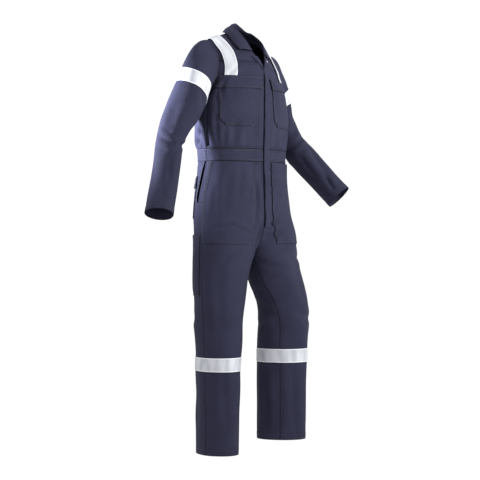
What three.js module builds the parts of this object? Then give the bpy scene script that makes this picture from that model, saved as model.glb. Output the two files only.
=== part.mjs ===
// A boiler suit as it hangs on a standing wearer, hollow, with every cut piece as its own solid.
// Millimetres, +Z up. The front faces -Y and the wearer's right is -X. The origin is between the shoulders.
import * as THREE from 'three';

// Cloth and sewing
const clothWall = 1.5;
const tapeWall = 1.0;
const seamGap = 0.3;
const tapeWidth = 50;
const shoulderTapeWidth = 45;

// Heights of the main seams
const waistTop = -418;
const waistBottom = -462;
const crotchHeight = -782;
const riseStart = -640;
const hem = { right: -1527, left: -1484 };

// Seams and pieces on the body. Rows are those of the rib tables, s is round the hips and legs.
const yokeFrontRow = 6;
const yokeBackRow = 12;
const flapTopRow = 4.5;
const flapBottomRow = 3.3;
const chestPocket = {
  topRow: 4.2,
  bottomRow: 1.35,
  corner: 24,
  cornerRows: 0.3,
  right: { inner: 26, outer: 180, slant: 0 },
  left: { inner: 42, outer: 190, slant: 16 },
};
const chestFlap = {
  right: { inner: 7, innerSlant: 2, outer: 12, outerSlant: 9 },
  left: { inner: 30, innerSlant: 12, outer: 12, outerSlant: 9 },
};
const hipPocketBottom = -762;
const seatPocket = { from: 0.64, to: 0.9, top: -515, bottom: -670, flapDrop: 45 };
const rulePocket = { from: 0.52, to: 0.665, top: -729, bottom: -950 };
const flyWidth = 28;
const flyTop = -140;
const flyBottom = -700;
const legTapeTop = { right: -1173, left: -1148 };
const roundTapeLift = 3.9;
const shoulderTapeLift = 2.6;
const seamAllowance = 12;
const studRadius = 5;
const studHeight = 2;
const studInset = 12;
const studGap = 0.7;
const sleeveTapePlace = {
  right: { x: -236, y: -15, z: -184, lean: [-0.43, 0.1, -0.9] },
  left: { x: 232, y: 50, z: -200, lean: [0.3, 0.1, -0.95] },
};
const gatherCount = 22;
const gatherDepth = 2.2;

// Colours
const navy = { color: 0x40425a, roughness: 0.85, metalness: 0 };
const silver = { color: 0xc6cad0, roughness: 0.45, metalness: 0.2 };
const steel = { color: 0x8a8d96, roughness: 0.35, metalness: 0.9 };

const suit = new THREE.Group();
suit.name = 'boiler_suit';

const lerp = (a, b, t) => a + (b - a) * t;
const clamp01 = (t) => Math.min(1, Math.max(0, t));
const ease = (t) => clamp01(t) ** 2 * (3 - 2 * clamp01(t));

function table(columns, rows) {
  return rows.map((row) => Object.fromEntries(columns.map((name, i) => [name, row[i]])));
}

// Smooth interpolation of every column of a table along its first column
function smooth(rows, key) {
  const names = Object.keys(rows[0]).filter((name) => name !== key);
  const slope = rows.map((row, i) => {
    const before = rows[Math.max(0, i - 1)];
    const after = rows[Math.min(rows.length - 1, i + 1)];
    const span = after[key] - before[key];
    return Object.fromEntries(names.map((name) => [name, (after[name] - before[name]) / span]));
  });
  return (x) => {
    let i = 0;
    while (i < rows.length - 2 && (rows[i + 1][key] - x) * Math.sign(rows[1][key] - rows[0][key]) < 0) i += 1;
    const a = rows[i];
    const b = rows[i + 1];
    const span = b[key] - a[key];
    const t = clamp01((x - a[key]) / span);
    const [t2, t3] = [t * t, t ** 3];
    const h = [2 * t3 - 3 * t2 + 1, t3 - 2 * t2 + t, 3 * t2 - 2 * t3, t3 - t2];
    const value = {};
    for (const name of names) {
      const ends = h[0] * a[name] + h[2] * b[name];
      value[name] = ends + span * (h[1] * slope[i][name] + h[3] * slope[i + 1][name]);
    }
    return value;
  };
}

function bezier(a, b, c, d, t) {
  const s = 1 - t;
  return s ** 3 * a + 3 * s * s * t * b + 3 * s * t * t * c + t ** 3 * d;
}

// The largest folds: each a soft trough from one point of the flat cloth to another, with a low ridge
// beside it. a is mm round or across the panel, b the height, or the distance down a sleeve.
const foldColumns = ['a0', 'b0', 'a1', 'b1', 'depth', 'width', 'ridge'];
const flatWidth = { sleeve: 350, leg: 560, back: 250 };
const folds = {
  sleeveRight: table(foldColumns, [
    [112, 331, 190, 301, 4.5, 9, 0.5],
    [28, 316, 88, 327, 4, 10, 0.5],
    [236, 318, 300, 300, 3, 11, 0.4],
  ]),
  sleeveLeft: table(foldColumns, [
    [20, 290, 70, 299, 6, 10, 0.5],
    [70, 299, 118, 284, 4.5, 10, 0.5],
    [258, 306, 318, 294, 3.5, 11, 0.4],
  ]),
  legRight: table(foldColumns, [
    [440, -1016, 520, -1000, 6, 24, 0.4],
  ]),
  legLeft: table(foldColumns, [
    [452, -1004, 530, -994, 13, 25, 0.35],
  ]),
  back: table(foldColumns, [
    [-228, -342, -214, -372, 8, 12, 0.4],
    [-206, -384, -190, -402, 7, 11, 0.4],
    [-160, -330, -135, -398, 5, 15, 0.5],
    [-98, -345, -84, -402, 4.5, 14, 0.5],
    [-30, -338, -22, -400, 4, 15, 0.5],
    [42, -346, 50, -402, 4.5, 14, 0.5],
    [108, -336, 92, -400, 5, 15, 0.5],
    [172, -350, 158, -400, 5, 14, 0.5],
    [226, -344, 210, -380, 6, 13, 0.4],
  ]),
};

const bump = (x, width) => Math.exp(-((x / width) ** 2));

function foldHeight(rows, a, b) {
  return rows.reduce((height, { a0, b0, a1, b1, depth, width, ridge }) => {
    const [da, db] = [a1 - a0, b1 - b0];
    const long = Math.hypot(da, db);
    const along = ((a - a0) * da + (b - b0) * db) / long;
    const across = ((a - a0) * db - (b - b0) * da) / long;
    const past = Math.max(0, -along, along - long);
    const taper = Math.sin(Math.PI * clamp01((along / long + 0.12) / 1.24)) ** 0.7 * bump(past, width * 1.2);
    const beside = bump(across - 1.9 * width, 1.1 * width) + 0.5 * bump(across + 1.9 * width, 1.2 * width);
    return height + depth * taper * (ridge * beside - bump(across, width));
  }, 0);
}

// The far shoulder sits lower and further back than the near one, as the arm is held
const leftShoulder = { drop: 25, back: 0.26, from: -240, to: -60 };

function settle([x, y, z], side) {
  if (side < 0) return new THREE.Vector3(-x, y, z);
  const w = ease((z - leftShoulder.from) / (leftShoulder.to - leftShoulder.from));
  return new THREE.Vector3(x, y + leftShoulder.back * x * w, z - leftShoulder.drop * ease(x / 90) * w);
}

// Bodice ribs: each runs from the centre front or neckline (i) to the side seam or armhole (o).
// ax..bz place its two curve handles between the ends.
const ribColumns = ['v', 'xi', 'yi', 'zi', 'xo', 'yo', 'zo', 'ax', 'ay', 'az', 'bx', 'by', 'bz'];
const frontRibs = smooth(table(ribColumns, [
  [0, 0, -121, -418, 188, -25, -418, 0.58, 0, 0.33, 1, 0.42, 0.67],
  [1, 0, -123, -360, 196, -24, -360, 0.58, 0, 0.33, 1, 0.42, 0.67],
  [2, 0, -125, -290, 196, -20, -286, 0.58, 0, 0.33, 1, 0.42, 0.67],
  [3, 0, -126, -215, 178, -16, -212, 0.6, 0, 0.33, 1, 0.4, 0.67],
  [3.6, 0, -126, -188, 173, -38, -190, 0.58, 0, 0.33, 0.94, 0.42, 0.67],
  [4.3, 0, -126, -165, 165, -53, -165, 0.56, 0, 0.33, 0.9, 0.42, 0.67],
  [5, 0, -124, -137, 160, -58, -138, 0.54, 0, 0.33, 0.87, 0.44, 0.67],
  [6, 9, -120, -104, 158, -60, -106, 0.5, 0, 0.33, 0.86, 0.45, 0.67],
  [7, 34, -104, -66, 160, -54, -78, 0.42, 0.05, 0.3, 0.8, 0.55, 0.65],
  [8, 62, -66, -24, 169, -38, -52, 0.36, 0.15, 0.25, 0.74, 0.6, 0.62],
  [9, 75, -22, 6, 182, -22, -27, 0.33, 0.33, 0.3, 0.67, 0.67, 0.58],
  [10, 64, 14, 11, 177, 10, -52, 0.35, 0.4, 0.2, 0.72, 0.75, 0.55],
  [11, 45, 33, 14, 168, 34, -92, 0.35, 0.5, 0.14, 0.78, 0.9, 0.5],
  [12, 30, 42, 15, 164, 44, -130, 0.38, 0.5, 0.12, 0.85, 0.92, 0.45],
]), 'v');
const backRibs = smooth(table(ribColumns, [
  [0, 0, 119, -418, 188, -25, -418, 0.58, 0, 0.33, 1, 0.42, 0.67],
  [0.2, 0, 119.5, -411, 189, -25, -411, 0.58, 0, 0.33, 1, 0.42, 0.67],
  [0.6, 0, 128, -394, 192, -25, -394, 0.6, 0, 0.33, 1, 0.42, 0.67],
  [1, 0, 129, -360, 197, -24, -360, 0.6, 0, 0.33, 1, 0.42, 0.67],
  [2, 0, 127, -290, 196, -20, -286, 0.58, 0, 0.33, 1, 0.42, 0.67],
  [3, 0, 122, -222, 178, -16, -212, 0.58, 0, 0.33, 1, 0.42, 0.67],
  [3.5, 0, 118, -192, 173, 18, -192, 0.56, 0, 0.33, 0.96, 0.44, 0.67],
  [4.2, 0, 112, -162, 168, 36, -165, 0.55, 0, 0.33, 0.92, 0.45, 0.67],
  [5, 0, 104, -132, 164, 44, -130, 0.54, 0, 0.33, 0.9, 0.46, 0.67],
]), 'v');

function ribPoint(rib, u) {
  const axis = (k) => {
    const a = rib[`${k}i`];
    const d = rib[`${k}o`] - a;
    return bezier(a, a + d * rib[`a${k}`], a + d * rib[`b${k}`], a + d, u);
  };
  return [axis('x'), axis('y'), axis('z')];
}

// Half bodice, front with the yoke over the shoulder. u runs from the centre front or neck outwards.
const sideSeamTop = 3;

// Front and back meet on one side seam line, the front's outer end
function backRib(v) {
  const rib = backRibs(v);
  if (v >= sideSeamTop) return rib;
  let [low, high] = [0, sideSeamTop];
  for (let i = 0; i < 30; i += 1) {
    const mid = (low + high) / 2;
    if (frontRibs(mid).zo < rib.zo) low = mid;
    else high = mid;
  }
  const seam = frontRibs(low);
  return { ...rib, xo: seam.xo, yo: seam.yo };
}

const frontBody = (side) => ({ at: (u, v) => settle(ribPoint(frontRibs(v), u), side), sign: side });

// Whole back: u from -1 at the right side seam to 1 at the left one
const wholeBack = {
  at: (u, v) => {
    const [x, y, z] = ribPoint(backRib(v), Math.abs(u));
    const held = ease((1 - Math.abs(u)) * 10) * ease((5 - v) / 0.7) * ease(v / 0.2);
    const swell = 1 + held * foldHeight(folds.back, u * flatWidth.back, z) / Math.hypot(x, y);
    return settle([x * swell, y * swell, z], u < 0 ? -1 : 1);
  },
  sign: -1,
};

// Distance of the shoulder tapes from the armhole by rib row
const shoulderTape = smooth(table(['v', 'right', 'left'], [
  [4.5, 27, 36],
  [5.6, 21, 33],
  [6.6, 15, 31],
  [8, 13, 30],
  [10, 13, 27],
  [12, 15, 22],
]), 'v');

// The yoke fans round the neck: q from 0 at the front yoke seam over the shoulder to 1 at the centre back
const yokeTurn = 0.62;
const backNeck = smooth(table(['q', 'x', 'y', 'z'], [
  [yokeTurn, 30, 42, 15],
  [0.8, 13, 46.5, 16],
  [1, 0, 48, 16],
]), 'q');

function yokePoint(q, u) {
  if (q <= yokeTurn) return ribPoint(frontRibs(lerp(yokeFrontRow, yokeBackRow, q / yokeTurn)), u);
  const along = (q - yokeTurn) / (1 - yokeTurn);
  const neck = backNeck(q);
  const low = ribPoint(backRibs(5), 1 - along);
  const high = frontRibs(yokeBackRow);
  const d = [low[0] - neck.x, low[1] - neck.y, low[2] - neck.z];
  const from = [neck.x, neck.y, neck.z];
  const handle = (k, i) => [high[`a${k}`], high[`b${k}`]][i];
  return ['x', 'y', 'z'].map((k, i) => bezier(
    from[i], from[i] + d[i] * handle(k, 0), from[i] + d[i] * handle(k, 1), low[i], u,
  ));
}

// p from -1 at the right front yoke seam to 1 at the left one, 0 at the centre back
const yokeBody = {
  at: (p, u) => settle(yokePoint(1 - Math.abs(p), u), p < 0 ? -1 : 1),
  sign: -1,
};

// Hips: half widths and half depths of the torso below the waist, each side alike
const hipSize = smooth(table(['z', 'wide', 'front', 'back', 'sideY'], [
  [-418, 188, -121, 119, -25],
  [-440, 185, -121, 119, -25],
  [-465, 184, -121, 119, -25],
  [-520, 188, -123, 124, -24],
  [-580, 196, -126, 128, -22],
  [-660, 203, -130, 128, -24],
  [-720, 208, -134, 124, -26],
  [-790, 214, -138, 118, -28],
]), 'z');

// Legs: centre, half widths and turn of the trouser legs by height
const legColumns = ['z', 'x', 'y', 'across', 'deep', 'turn', 'inseamY'];
const legSize = {
  '-1': smooth(table(legColumns, [
    [-640, 108, -26, 107.5, 112, 0, -50],
    [-720, 108, -26, 107.5, 108, 0, -60],
    [-782, 108, -24, 107.5, 102, 0, -62],
    [-830, 110, -18, 103, 99, 0, -40],
    [-900, 111, -10, 96, 96, 0, -18],
    [-1030, 112, -4, 85, 92, 0, -4],
    [-1210, 111, 0, 73, 90, 0, 0],
    [-1400, 111, 3, 67, 89, 0, 0],
    [-1560, 111, 6, 63, 88, 0, 0],
  ]), 'z'),
  1: smooth(table(legColumns, [
    [-640, 108, -26, 107.5, 112, 0, -50],
    [-720, 108, -29, 107.5, 110, 0, -60],
    [-782, 108, -33, 107.5, 104, 0, -62],
    [-830, 111, -45, 103, 102, 10, -50],
    [-900, 116, -70, 95, 99, 20, -62],
    [-960, 128, -84, 88, 94, 28, -78],
    [-1030, 136, -90, 84, 92, 34, -90],
    [-1150, 138, -82, 74, 93, 38, -82],
    [-1330, 137, -80, 68, 91, 40, -80],
    [-1500, 136, -80, 63, 89, 40, -80],
  ]), 'z'),
};
const roundness = 0.58;

function quarter(a, b, firstAlongX, t) {
  const k = roundness;
  const c = firstAlongX ? [lerp(a[0], b[0], k), a[1]] : [a[0], lerp(a[1], b[1], k)];
  const d = firstAlongX ? [b[0], lerp(b[1], a[1], k)] : [lerp(b[0], a[0], k), b[1]];
  return [0, 1].map((i) => bezier(a[i], c[i], d[i], b[i], t));
}

// s runs from the centre front or inseam (0) past the side seam (0.5) to the centre back or inseam (1)
function hipPoint(s, z, side) {
  const hip = hipSize(Math.max(z, -790));
  const outer = [hip.wide, hip.sideY];
  const half = s <= 0.5
    ? quarter([0, hip.front], outer, true, s * 2)
    : quarter(outer, [0, hip.back], false, s * 2 - 1);
  const leg = legSize[side](Math.min(z, riseStart));
  const t = clamp01((riseStart - z) / (riseStart - crotchHeight));
  const w = lerp(1 - Math.sqrt(1 - t * t), ease(t), Math.sin(Math.PI * s));
  if (w === 0) return [half[0], half[1], z];
  const key = [
    [leg.x - leg.across, leg.inseamY],
    [leg.x, leg.y - leg.deep],
    [leg.x + leg.across, leg.y - 14],
    [leg.x, leg.y + leg.deep],
    [leg.x - leg.across, leg.inseamY],
  ];
  const i = Math.min(3, Math.floor(s * 4));
  const ring = quarter(key[i], key[i + 1], i % 2 === 1, s * 4 - i);
  const turn = THREE.MathUtils.degToRad(leg.turn);
  const held = ease(s * 25) * ease((1 - s) * 25);
  const fold = foldHeight(side < 0 ? folds.legRight : folds.legLeft, s * flatWidth.leg, z);
  const swell = 1 + held * fold / Math.hypot(ring[0] - leg.x, ring[1] - leg.y);
  const dx = (ring[0] - leg.x) * swell;
  const dy = (ring[1] - leg.y) * swell;
  const x = leg.x + dx * Math.cos(turn) - dy * Math.sin(turn);
  const y = leg.y + dx * Math.sin(turn) + dy * Math.cos(turn);
  return [Math.max(0, lerp(half[0], x, w)), lerp(half[1], y, w), z];
}

const trouserBody = (side) => ({
  at: (s, z) => {
    const [x, y] = hipPoint(s, z, side);
    return new THREE.Vector3(x * side, y, z);
  },
  sign: side,
});

// Sleeves: centre line and half widths by distance down the sleeve from the shoulder
const sleeveColumns = ['d', 'x', 'y', 'z', 'across', 'deep'];
const sleeveRings = {
  '-1': table(sleeveColumns, [
    [110, 245, -11, -204, 60, 66],
    [190, 274, -1, -280, 62, 69],
    [250, 307, 8, -338, 54, 61],
    [310, 328, 15, -397, 46, 53],
    [385, 346, 8, -470, 45, 52],
    [480, 374, -6, -563, 45, 53],
    [580, 410, -25, -658, 47, 55],
  ]),
  1: table(sleeveColumns, [
    [110, 240, 56, -226, 50, 62],
    [175, 250, 50, -290, 49, 60],
    [215, 253, 32, -325, 49, 58],
    [275, 260, -6, -385, 49, 54],
    [350, 284, -54, -442, 48, 53],
    [450, 318, -112, -515, 47, 52],
    [555, 353, -170, -586, 46, 53],
  ]),
};
const cuffEnd = { '-1': 580, 1: 555 };
const capEnd = 110;

// Armhole loop: t from the underarm (0) up the front (0.25) to the shoulder (0.5) and down the back
function armhole(t, side) {
  const front = smooth(table(['t', 'v'], [[0, 3], [0.08, 3.6], [0.25, 5], [0.34, 6.4], [0.5, 9]]), 't');
  const back = smooth(table(['t', 'v'], [[0.5, 9], [0.62, 10.6], [0.7, 12]]), 't');
  const low = smooth(table(['t', 'v'], [[0.7, 5], [0.82, 4.1], [0.92, 3.45], [1, 3]]), 't');
  if (t <= 0.5) return settle(ribPoint(frontRibs(front(t).v), 1), side);
  if (t <= 0.7) return settle(ribPoint(frontRibs(back(t).v), 1), side);
  return settle(ribPoint(backRibs(low(t).v), 1), side);
}

function sleeveBody(side) {
  const rings = smooth(sleeveRings[side], 'd');
  const centre = (d) => {
    const r = rings(d);
    return new THREE.Vector3(r.x * side, r.y, r.z);
  };
  const ringPoint = (t, d) => {
    const r = rings(d);
    const along = centre(Math.min(cuffEnd[side], d + 8)).sub(centre(Math.max(capEnd, d - 8))).normalize();
    const front = new THREE.Vector3(0, -1, 0);
    front.addScaledVector(along, -front.dot(along)).normalize();
    const out = new THREE.Vector3().crossVectors(front, along).multiplyScalar(side).normalize();
    const turn = t * 2 * Math.PI;
    const held = ease(t * 14) * ease((1 - t) * 14);
    const fold = foldHeight(side < 0 ? folds.sleeveRight : folds.sleeveLeft, t * flatWidth.sleeve, d);
    return centre(d)
      .addScaledVector(out, -Math.cos(turn) * (r.across + held * fold))
      .addScaledVector(front, Math.sin(turn) * (r.deep + held * fold));
  };
  const at = (t, d) => {
    if (d >= capEnd) return ringPoint(t, d);
    const a = armhole(t, side);
    a.x += side * lerp(0.8, 4.5, (1 + Math.cos(t * 2 * Math.PI)) / 2);
    const b = ringPoint(t, capEnd);
    const after = ringPoint(t, capEnd + 4).sub(b).multiplyScalar(0.25);
    const top = (1 - Math.cos(t * 2 * Math.PI)) / 2;
    const k = d / capEnd;
    const reach = a.distanceTo(b);
    const c1 = new THREE.Vector3(
      lerp(a.x, b.x, lerp(0.33, 0.62, top)),
      lerp(a.y, b.y, 0.33),
      lerp(a.z, b.z, lerp(0.33, 0.03, top)),
    );
    const c2 = b.clone().addScaledVector(after, -reach * 0.33);
    return new THREE.Vector3(...['x', 'y', 'z'].map((n) => bezier(a[n], c1[n], c2[n], b[n], k)));
  };
  return { at, sign: -side };
}

// Collar: it stands on the yoke's neck edge. q is the yoke's, and the roll and fall edge are by q.
const collarEnd = 0.1;
const collarLine = smooth(table(['q', 'rollX', 'rollY', 'rollZ', 'fallX', 'fallY', 'fallZ'], [
  [0.1, 37, -103, -58, 92, -97, -60],
  [0.2, 57, -74, -5, 97, -66, -32],
  [0.31, 58, -24, 33, 94, -26, 7],
  [0.45, 45, 3, 39, 68, 20, 15],
  [0.62, 25, 19, 49, 36, 47, 20],
  [1, 0, 27, 57, 0, 63, 20],
]), 'q');
const neckCentre = new THREE.Vector2(0, -30);
const rollRadius = 2.4;
const standLift = 1.3;

function collarPoint(q, w) {
  const c = collarLine(1 - Math.abs(q));
  const side = q < 0 ? -1 : 1;
  const seam = yokePoint(1 - Math.abs(q), 0);
  seam[2] += standLift;
  const out = new THREE.Vector2(c.rollX, c.rollY).sub(neckCentre).normalize();
  const roll = [c.rollX, c.rollY, c.rollZ];
  const fall = [c.fallX, c.fallY, c.fallZ];
  const reach = (base, r, down) => [base[0] + out.x * r, base[1] + out.y * r, base[2] - down];
  const middle = fall.map((x, i) => lerp(roll[i], x, i < 2 ? 0.55 : 0.45));
  const section = [
    seam,
    seam.map((x, i) => lerp(x, roll[i], 0.5)),
    reach(roll, -rollRadius, rollRadius * 1.5),
    roll,
    reach(roll, rollRadius, rollRadius * 1.5),
    reach(middle, 3, 0),
    fall,
  ];
  const at = [0, 0.22, 0.42, 0.46, 0.5, 0.75, 1];
  const line = smooth(at.map((v, i) => ({ v, x: section[i][0], y: section[i][1], z: section[i][2] })), 'v');
  const p = line(w);
  return settle([p.x, p.y, p.z], side);
}

const collarBody = { at: collarPoint, sign: 1 };

// One closed wall over a grid of a surface. u and v list the grid's values. lift is the distance of
// its inner face from the surface, shape may move a grid point further out, tube closes the grid on
// itself along u, and keepSide holds the points on their own side of the centre.
function sheetWall(name, finish, surface, u, v, options = {}) {
  const { lift = 0, wall = clothWall, shape, tube = false, keepSide = 0 } = options;
  const step = 1e-3;
  const inset = (list, i, size) => {
    if (i === 0) return list[0] + size;
    return i === list.length - 1 ? list[i] - size : list[i];
  };
  const rate = (a, b) => Math.max(1e-6, a.distanceTo(b));
  const inner = [];
  const outer = [];
  const uSpan = u[u.length - 1] - u[0];
  const vSpan = v[v.length - 1] - v[0];
  for (let j = 0; j < v.length; j += 1) {
    for (let i = 0; i < u.length; i += 1) {
      const du = uSpan * step;
      const dv = vSpan * step;
      const uAt = Math.min(Math.max(u[i], u[0] + 2 * du), u[u.length - 1] - 2 * du);
      const vAt = Math.min(Math.max(v[j], v[0] + 2 * dv), v[v.length - 1] - 2 * dv);
      const uRate = rate(surface.at(uAt - du, vAt), surface.at(uAt + du, vAt)) / (2 * du);
      const vRate = rate(surface.at(uAt, vAt - dv), surface.at(uAt, vAt + dv)) / (2 * dv);
      const uu = tube ? u[i] : inset(u, i, seamGap / 2 / uRate);
      const vv = inset(v, j, seamGap / 2 / vRate);
      const p = surface.at(uu, vv);
      const pu = surface.at(uAt + du, vAt).sub(surface.at(uAt - du, vAt));
      const pv = surface.at(uAt, vAt + dv).sub(surface.at(uAt, vAt - dv));
      const n = pu.cross(pv).normalize().multiplyScalar(surface.sign);
      const extra = shape ? shape((u[i] - u[0]) / uSpan, (v[j] - v[0]) / vSpan) : 0;
      for (const [list, reach] of [[inner, lift + extra], [outer, lift + extra + wall]]) {
        const q = p.clone().addScaledVector(n, reach);
        if (keepSide !== 0) q.x = keepSide * Math.max(seamGap / 2, q.x * keepSide);
        list.push(q);
      }
    }
  }
  const m = u.length;
  const k = v.length;
  const points = [...inner, ...outer];
  const index = [];
  const quad = (a, b, c, d) => index.push(a, b, c, a, c, d);
  const wrap = tube ? m - 1 : m;
  const id = (i, j) => j * m + (i % wrap);
  const far = m * k;
  for (let j = 0; j < k - 1; j += 1) {
    for (let i = 0; i < m - 1; i += 1) {
      quad(far + id(i, j), far + id(i + 1, j), far + id(i + 1, j + 1), far + id(i, j + 1));
      quad(id(i, j), id(i, j + 1), id(i + 1, j + 1), id(i + 1, j));
    }
  }
  for (let i = 0; i < m - 1; i += 1) {
    quad(id(i, 0), id(i + 1, 0), far + id(i + 1, 0), far + id(i, 0));
    quad(far + id(i, k - 1), far + id(i + 1, k - 1), id(i + 1, k - 1), id(i, k - 1));
  }
  if (!tube) {
    for (let j = 0; j < k - 1; j += 1) {
      quad(id(0, j + 1), id(0, j), far + id(0, j), far + id(0, j + 1));
      quad(id(m - 1, j), id(m - 1, j + 1), far + id(m - 1, j + 1), far + id(m - 1, j));
    }
  }
  addMesh(name, finish, points, index);
}

function addMesh(name, finish, points, index) {
  let volume = 0;
  for (let i = 0; i < index.length; i += 3) {
    const [a, b, c] = [points[index[i]], points[index[i + 1]], points[index[i + 2]]];
    volume += a.dot(b.clone().cross(c));
  }
  if (volume < 0) {
    for (let i = 0; i < index.length; i += 3) [index[i + 1], index[i + 2]] = [index[i + 2], index[i + 1]];
  }
  const used = [...new Set(index)].sort((a, b) => a - b);
  const place = new Map(used.map((old, i) => [old, i]));
  const geometry = new THREE.BufferGeometry();
  const corners = used.flatMap((i) => points[i].toArray());
  geometry.setAttribute('position', new THREE.Float32BufferAttribute(corners, 3));
  geometry.setIndex(index.map((i) => place.get(i)));
  geometry.computeVertexNormals();
  const mesh = new THREE.Mesh(geometry, new THREE.MeshStandardMaterial(finish));
  mesh.name = name;
  suit.add(mesh);
}

const even = (from, to, count) => Array.from({ length: count + 1 }, (_, i) => lerp(from, to, i / count));

// The u at which a line of the surface at v is a given distance in mm from its start, or from its end
function uAtDistance(surface, v, distance, fromEnd = false) {
  const steps = 60;
  let before = surface.at(fromEnd ? 1 : 0, v);
  let gone = 0;
  for (let i = 1; i <= steps; i += 1) {
    const here = surface.at(fromEnd ? 1 - i / steps : i / steps, v);
    const length = here.distanceTo(before);
    if (gone + length >= distance) {
      const u = (i - 1 + (distance - gone) / length) / steps;
      return fromEnd ? 1 - u : u;
    }
    gone += length;
    before = here;
  }
  return fromEnd ? 0 : 1;
}

// A patch of a body surface between two edge lines, each a function of v giving u. Its columns are
// the lines of the panel beneath, so that both have the same facets. Lines past an edge crowd beside it.
const crowd = 0.012;

function patch(surface, from, to, lines = []) {
  const last = lines.length + 1;
  const columns = (v) => {
    const [a, b] = [from(v), to(v)];
    const hold = (u, k) => Math.min(Math.max(u, a + crowd * (k + 1)), b - crowd * (lines.length - k));
    return [a, ...lines.map(hold), b];
  };
  const at = (c, v) => {
    const u = columns(v);
    const k = Math.min(last - 1, Math.floor(c));
    return surface.at(lerp(u[k], u[k + 1], c - k), v);
  };
  return { at, sign: surface.sign, columns: even(0, last, last) };
}

const sides = [{ side: -1, word: 'right' }, { side: 1, word: 'left' }];
const overCloth = clothWall + seamGap;
const overPocket = 2 * overCloth;
const frontColumns = even(0, 1, 8);
const frontRows = [0, 0.5, 1, 1.5, 2, 2.5, 3, 3.6, 4.2, 5, 6];
const hipColumns = even(0, 0.5, 8);
const seatColumns = [0.61, 0.675, 0.74, 0.805, 0.87, 0.935];
const inside = (columns) => columns.slice(1, -1);

function bodice() {
  for (const { side, word } of sides) {
    sheetWall(`front_${word}`, navy, frontBody(side), frontColumns, frontRows);
  }
  const backRows = [0, 0.2, 0.4, 0.6, 0.8, 1, 1.25, 1.5, 2, 2.5, 3, 3.5, 4.2, 5];
  sheetWall('back', navy, wholeBack, even(-1, 1, 40), backRows);
  const half = [0, 0.15, 0.28, 0.38, 0.44, 0.52, 0.6, 0.68, 0.76, 0.84, 0.92, 1];
  sheetWall('yoke', navy, yokeBody, [...half.slice(1).reverse().map((x) => -x), ...half], even(0, 1, 5));
}

// Side slit below the waistband, between the narrow side piece and the trouser back
const slitBottom = -612;
const slitLine = smooth(table(['z', 'front', 'back'], [
  [-620, 0.57, 0.5],
  [slitBottom, 0.57, 0.59],
  [-560, 0.55, 0.582],
  [-500, 0.522, 0.548],
  [waistBottom, 0.507, 0.52],
]), 'z');

const thighRows = [-1080, -1050, -1025, -1000, -975, -945, -880, -830, -795, -775];
const seatRows = [slitBottom - 6, slitBottom, -560, -510, waistBottom];
const frontHipRows = [-750, -715, -670, -600, -530, waistBottom];

function trousers() {
  for (const { side, word } of sides) {
    const tape = legTapeTop[word];
    const rows = [hem[word], -1400, -1300, tape - tapeWidth, tape, ...thighRows];
    const body = trouserBody(side);
    sheetWall(`trouser_front_${word}`, navy, body, hipColumns, [...rows, ...frontHipRows], {
      keepSide: side,
    });
    const slitBack = (z) => (z < slitBottom ? 0.5 : slitLine(z).back);
    const seat = {
      at: (c, z) => {
        const edge = slitBack(z);
        const u = [edge, (edge + seatColumns[0]) / 2, ...seatColumns, 1];
        const k = Math.min(u.length - 2, Math.floor(c));
        return body.at(lerp(u[k], u[k + 1], c - k), z);
      },
      sign: side,
    };
    const backRows = [...rows, ...frontHipRows.slice(0, 3), ...seatRows];
    sheetWall(`trouser_back_${word}`, navy, seat, even(0, 8, 8), backRows, { keepSide: side });
    const sidePiece = patch(body, () => 0.5, (z) => slitLine(z).front);
    sheetWall(`hip_side_${word}`, navy, sidePiece, sidePiece.columns, even(slitBottom + 0.5, waistBottom, 3));
    sheetWall(`waistband_front_${word}`, navy, body, hipColumns, even(waistBottom, waistTop, 1));
  }
  const wholeWaist = {
    at: (p, z) => trouserBody(p < 0 ? -1 : 1).at(1 - Math.abs(p) / 2, z),
    sign: -1,
  };
  const gathers = even(-1, 1, gatherCount * 4);
  sheetWall('waistband_back', navy, wholeWaist, gathers, even(waistBottom, waistTop, 2), {
    shape: (u) => gatherDepth * (0.5 - 0.5 * Math.cos(u * gatherCount * 2 * Math.PI)),
  });
}

const capRows = [0, 22, 45, 75, capEnd];
const sleeveRows = [...capRows, 130, 150, 195, 235, 265, 283, 294, 305, 316, 327, 340, 380, 430, 500];

function sleeves() {
  for (const { side, word } of sides) {
    const rows = [...sleeveRows, cuffEnd[side]];
    sheetWall(`sleeve_${word}`, navy, sleeveBody(side), even(0, 1, 18), rows, { tube: true });
  }
}

function collar() {
  const half = [0, 0.15, 0.3, 0.42, 0.53, 0.62, 0.7, 0.78, 0.84, 1 - collarEnd];
  const q = [...half.slice(1).reverse().map((x) => -x), ...half];
  sheetWall('collar', navy, collarBody, q, [0, 0.22, 0.4, 0.46, 0.52, 0.75, 1]);
}

// The turned-back front edge below the collar: width in mm by rib row
const lapelRows = { break: 5.2, notch: 6.6 };
const lapelWidth = smooth(table(['v', 'width'], [[5.2, 1.5], [5.8, 12], [6.3, 21], [6.6, 25]]), 'v');

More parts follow.
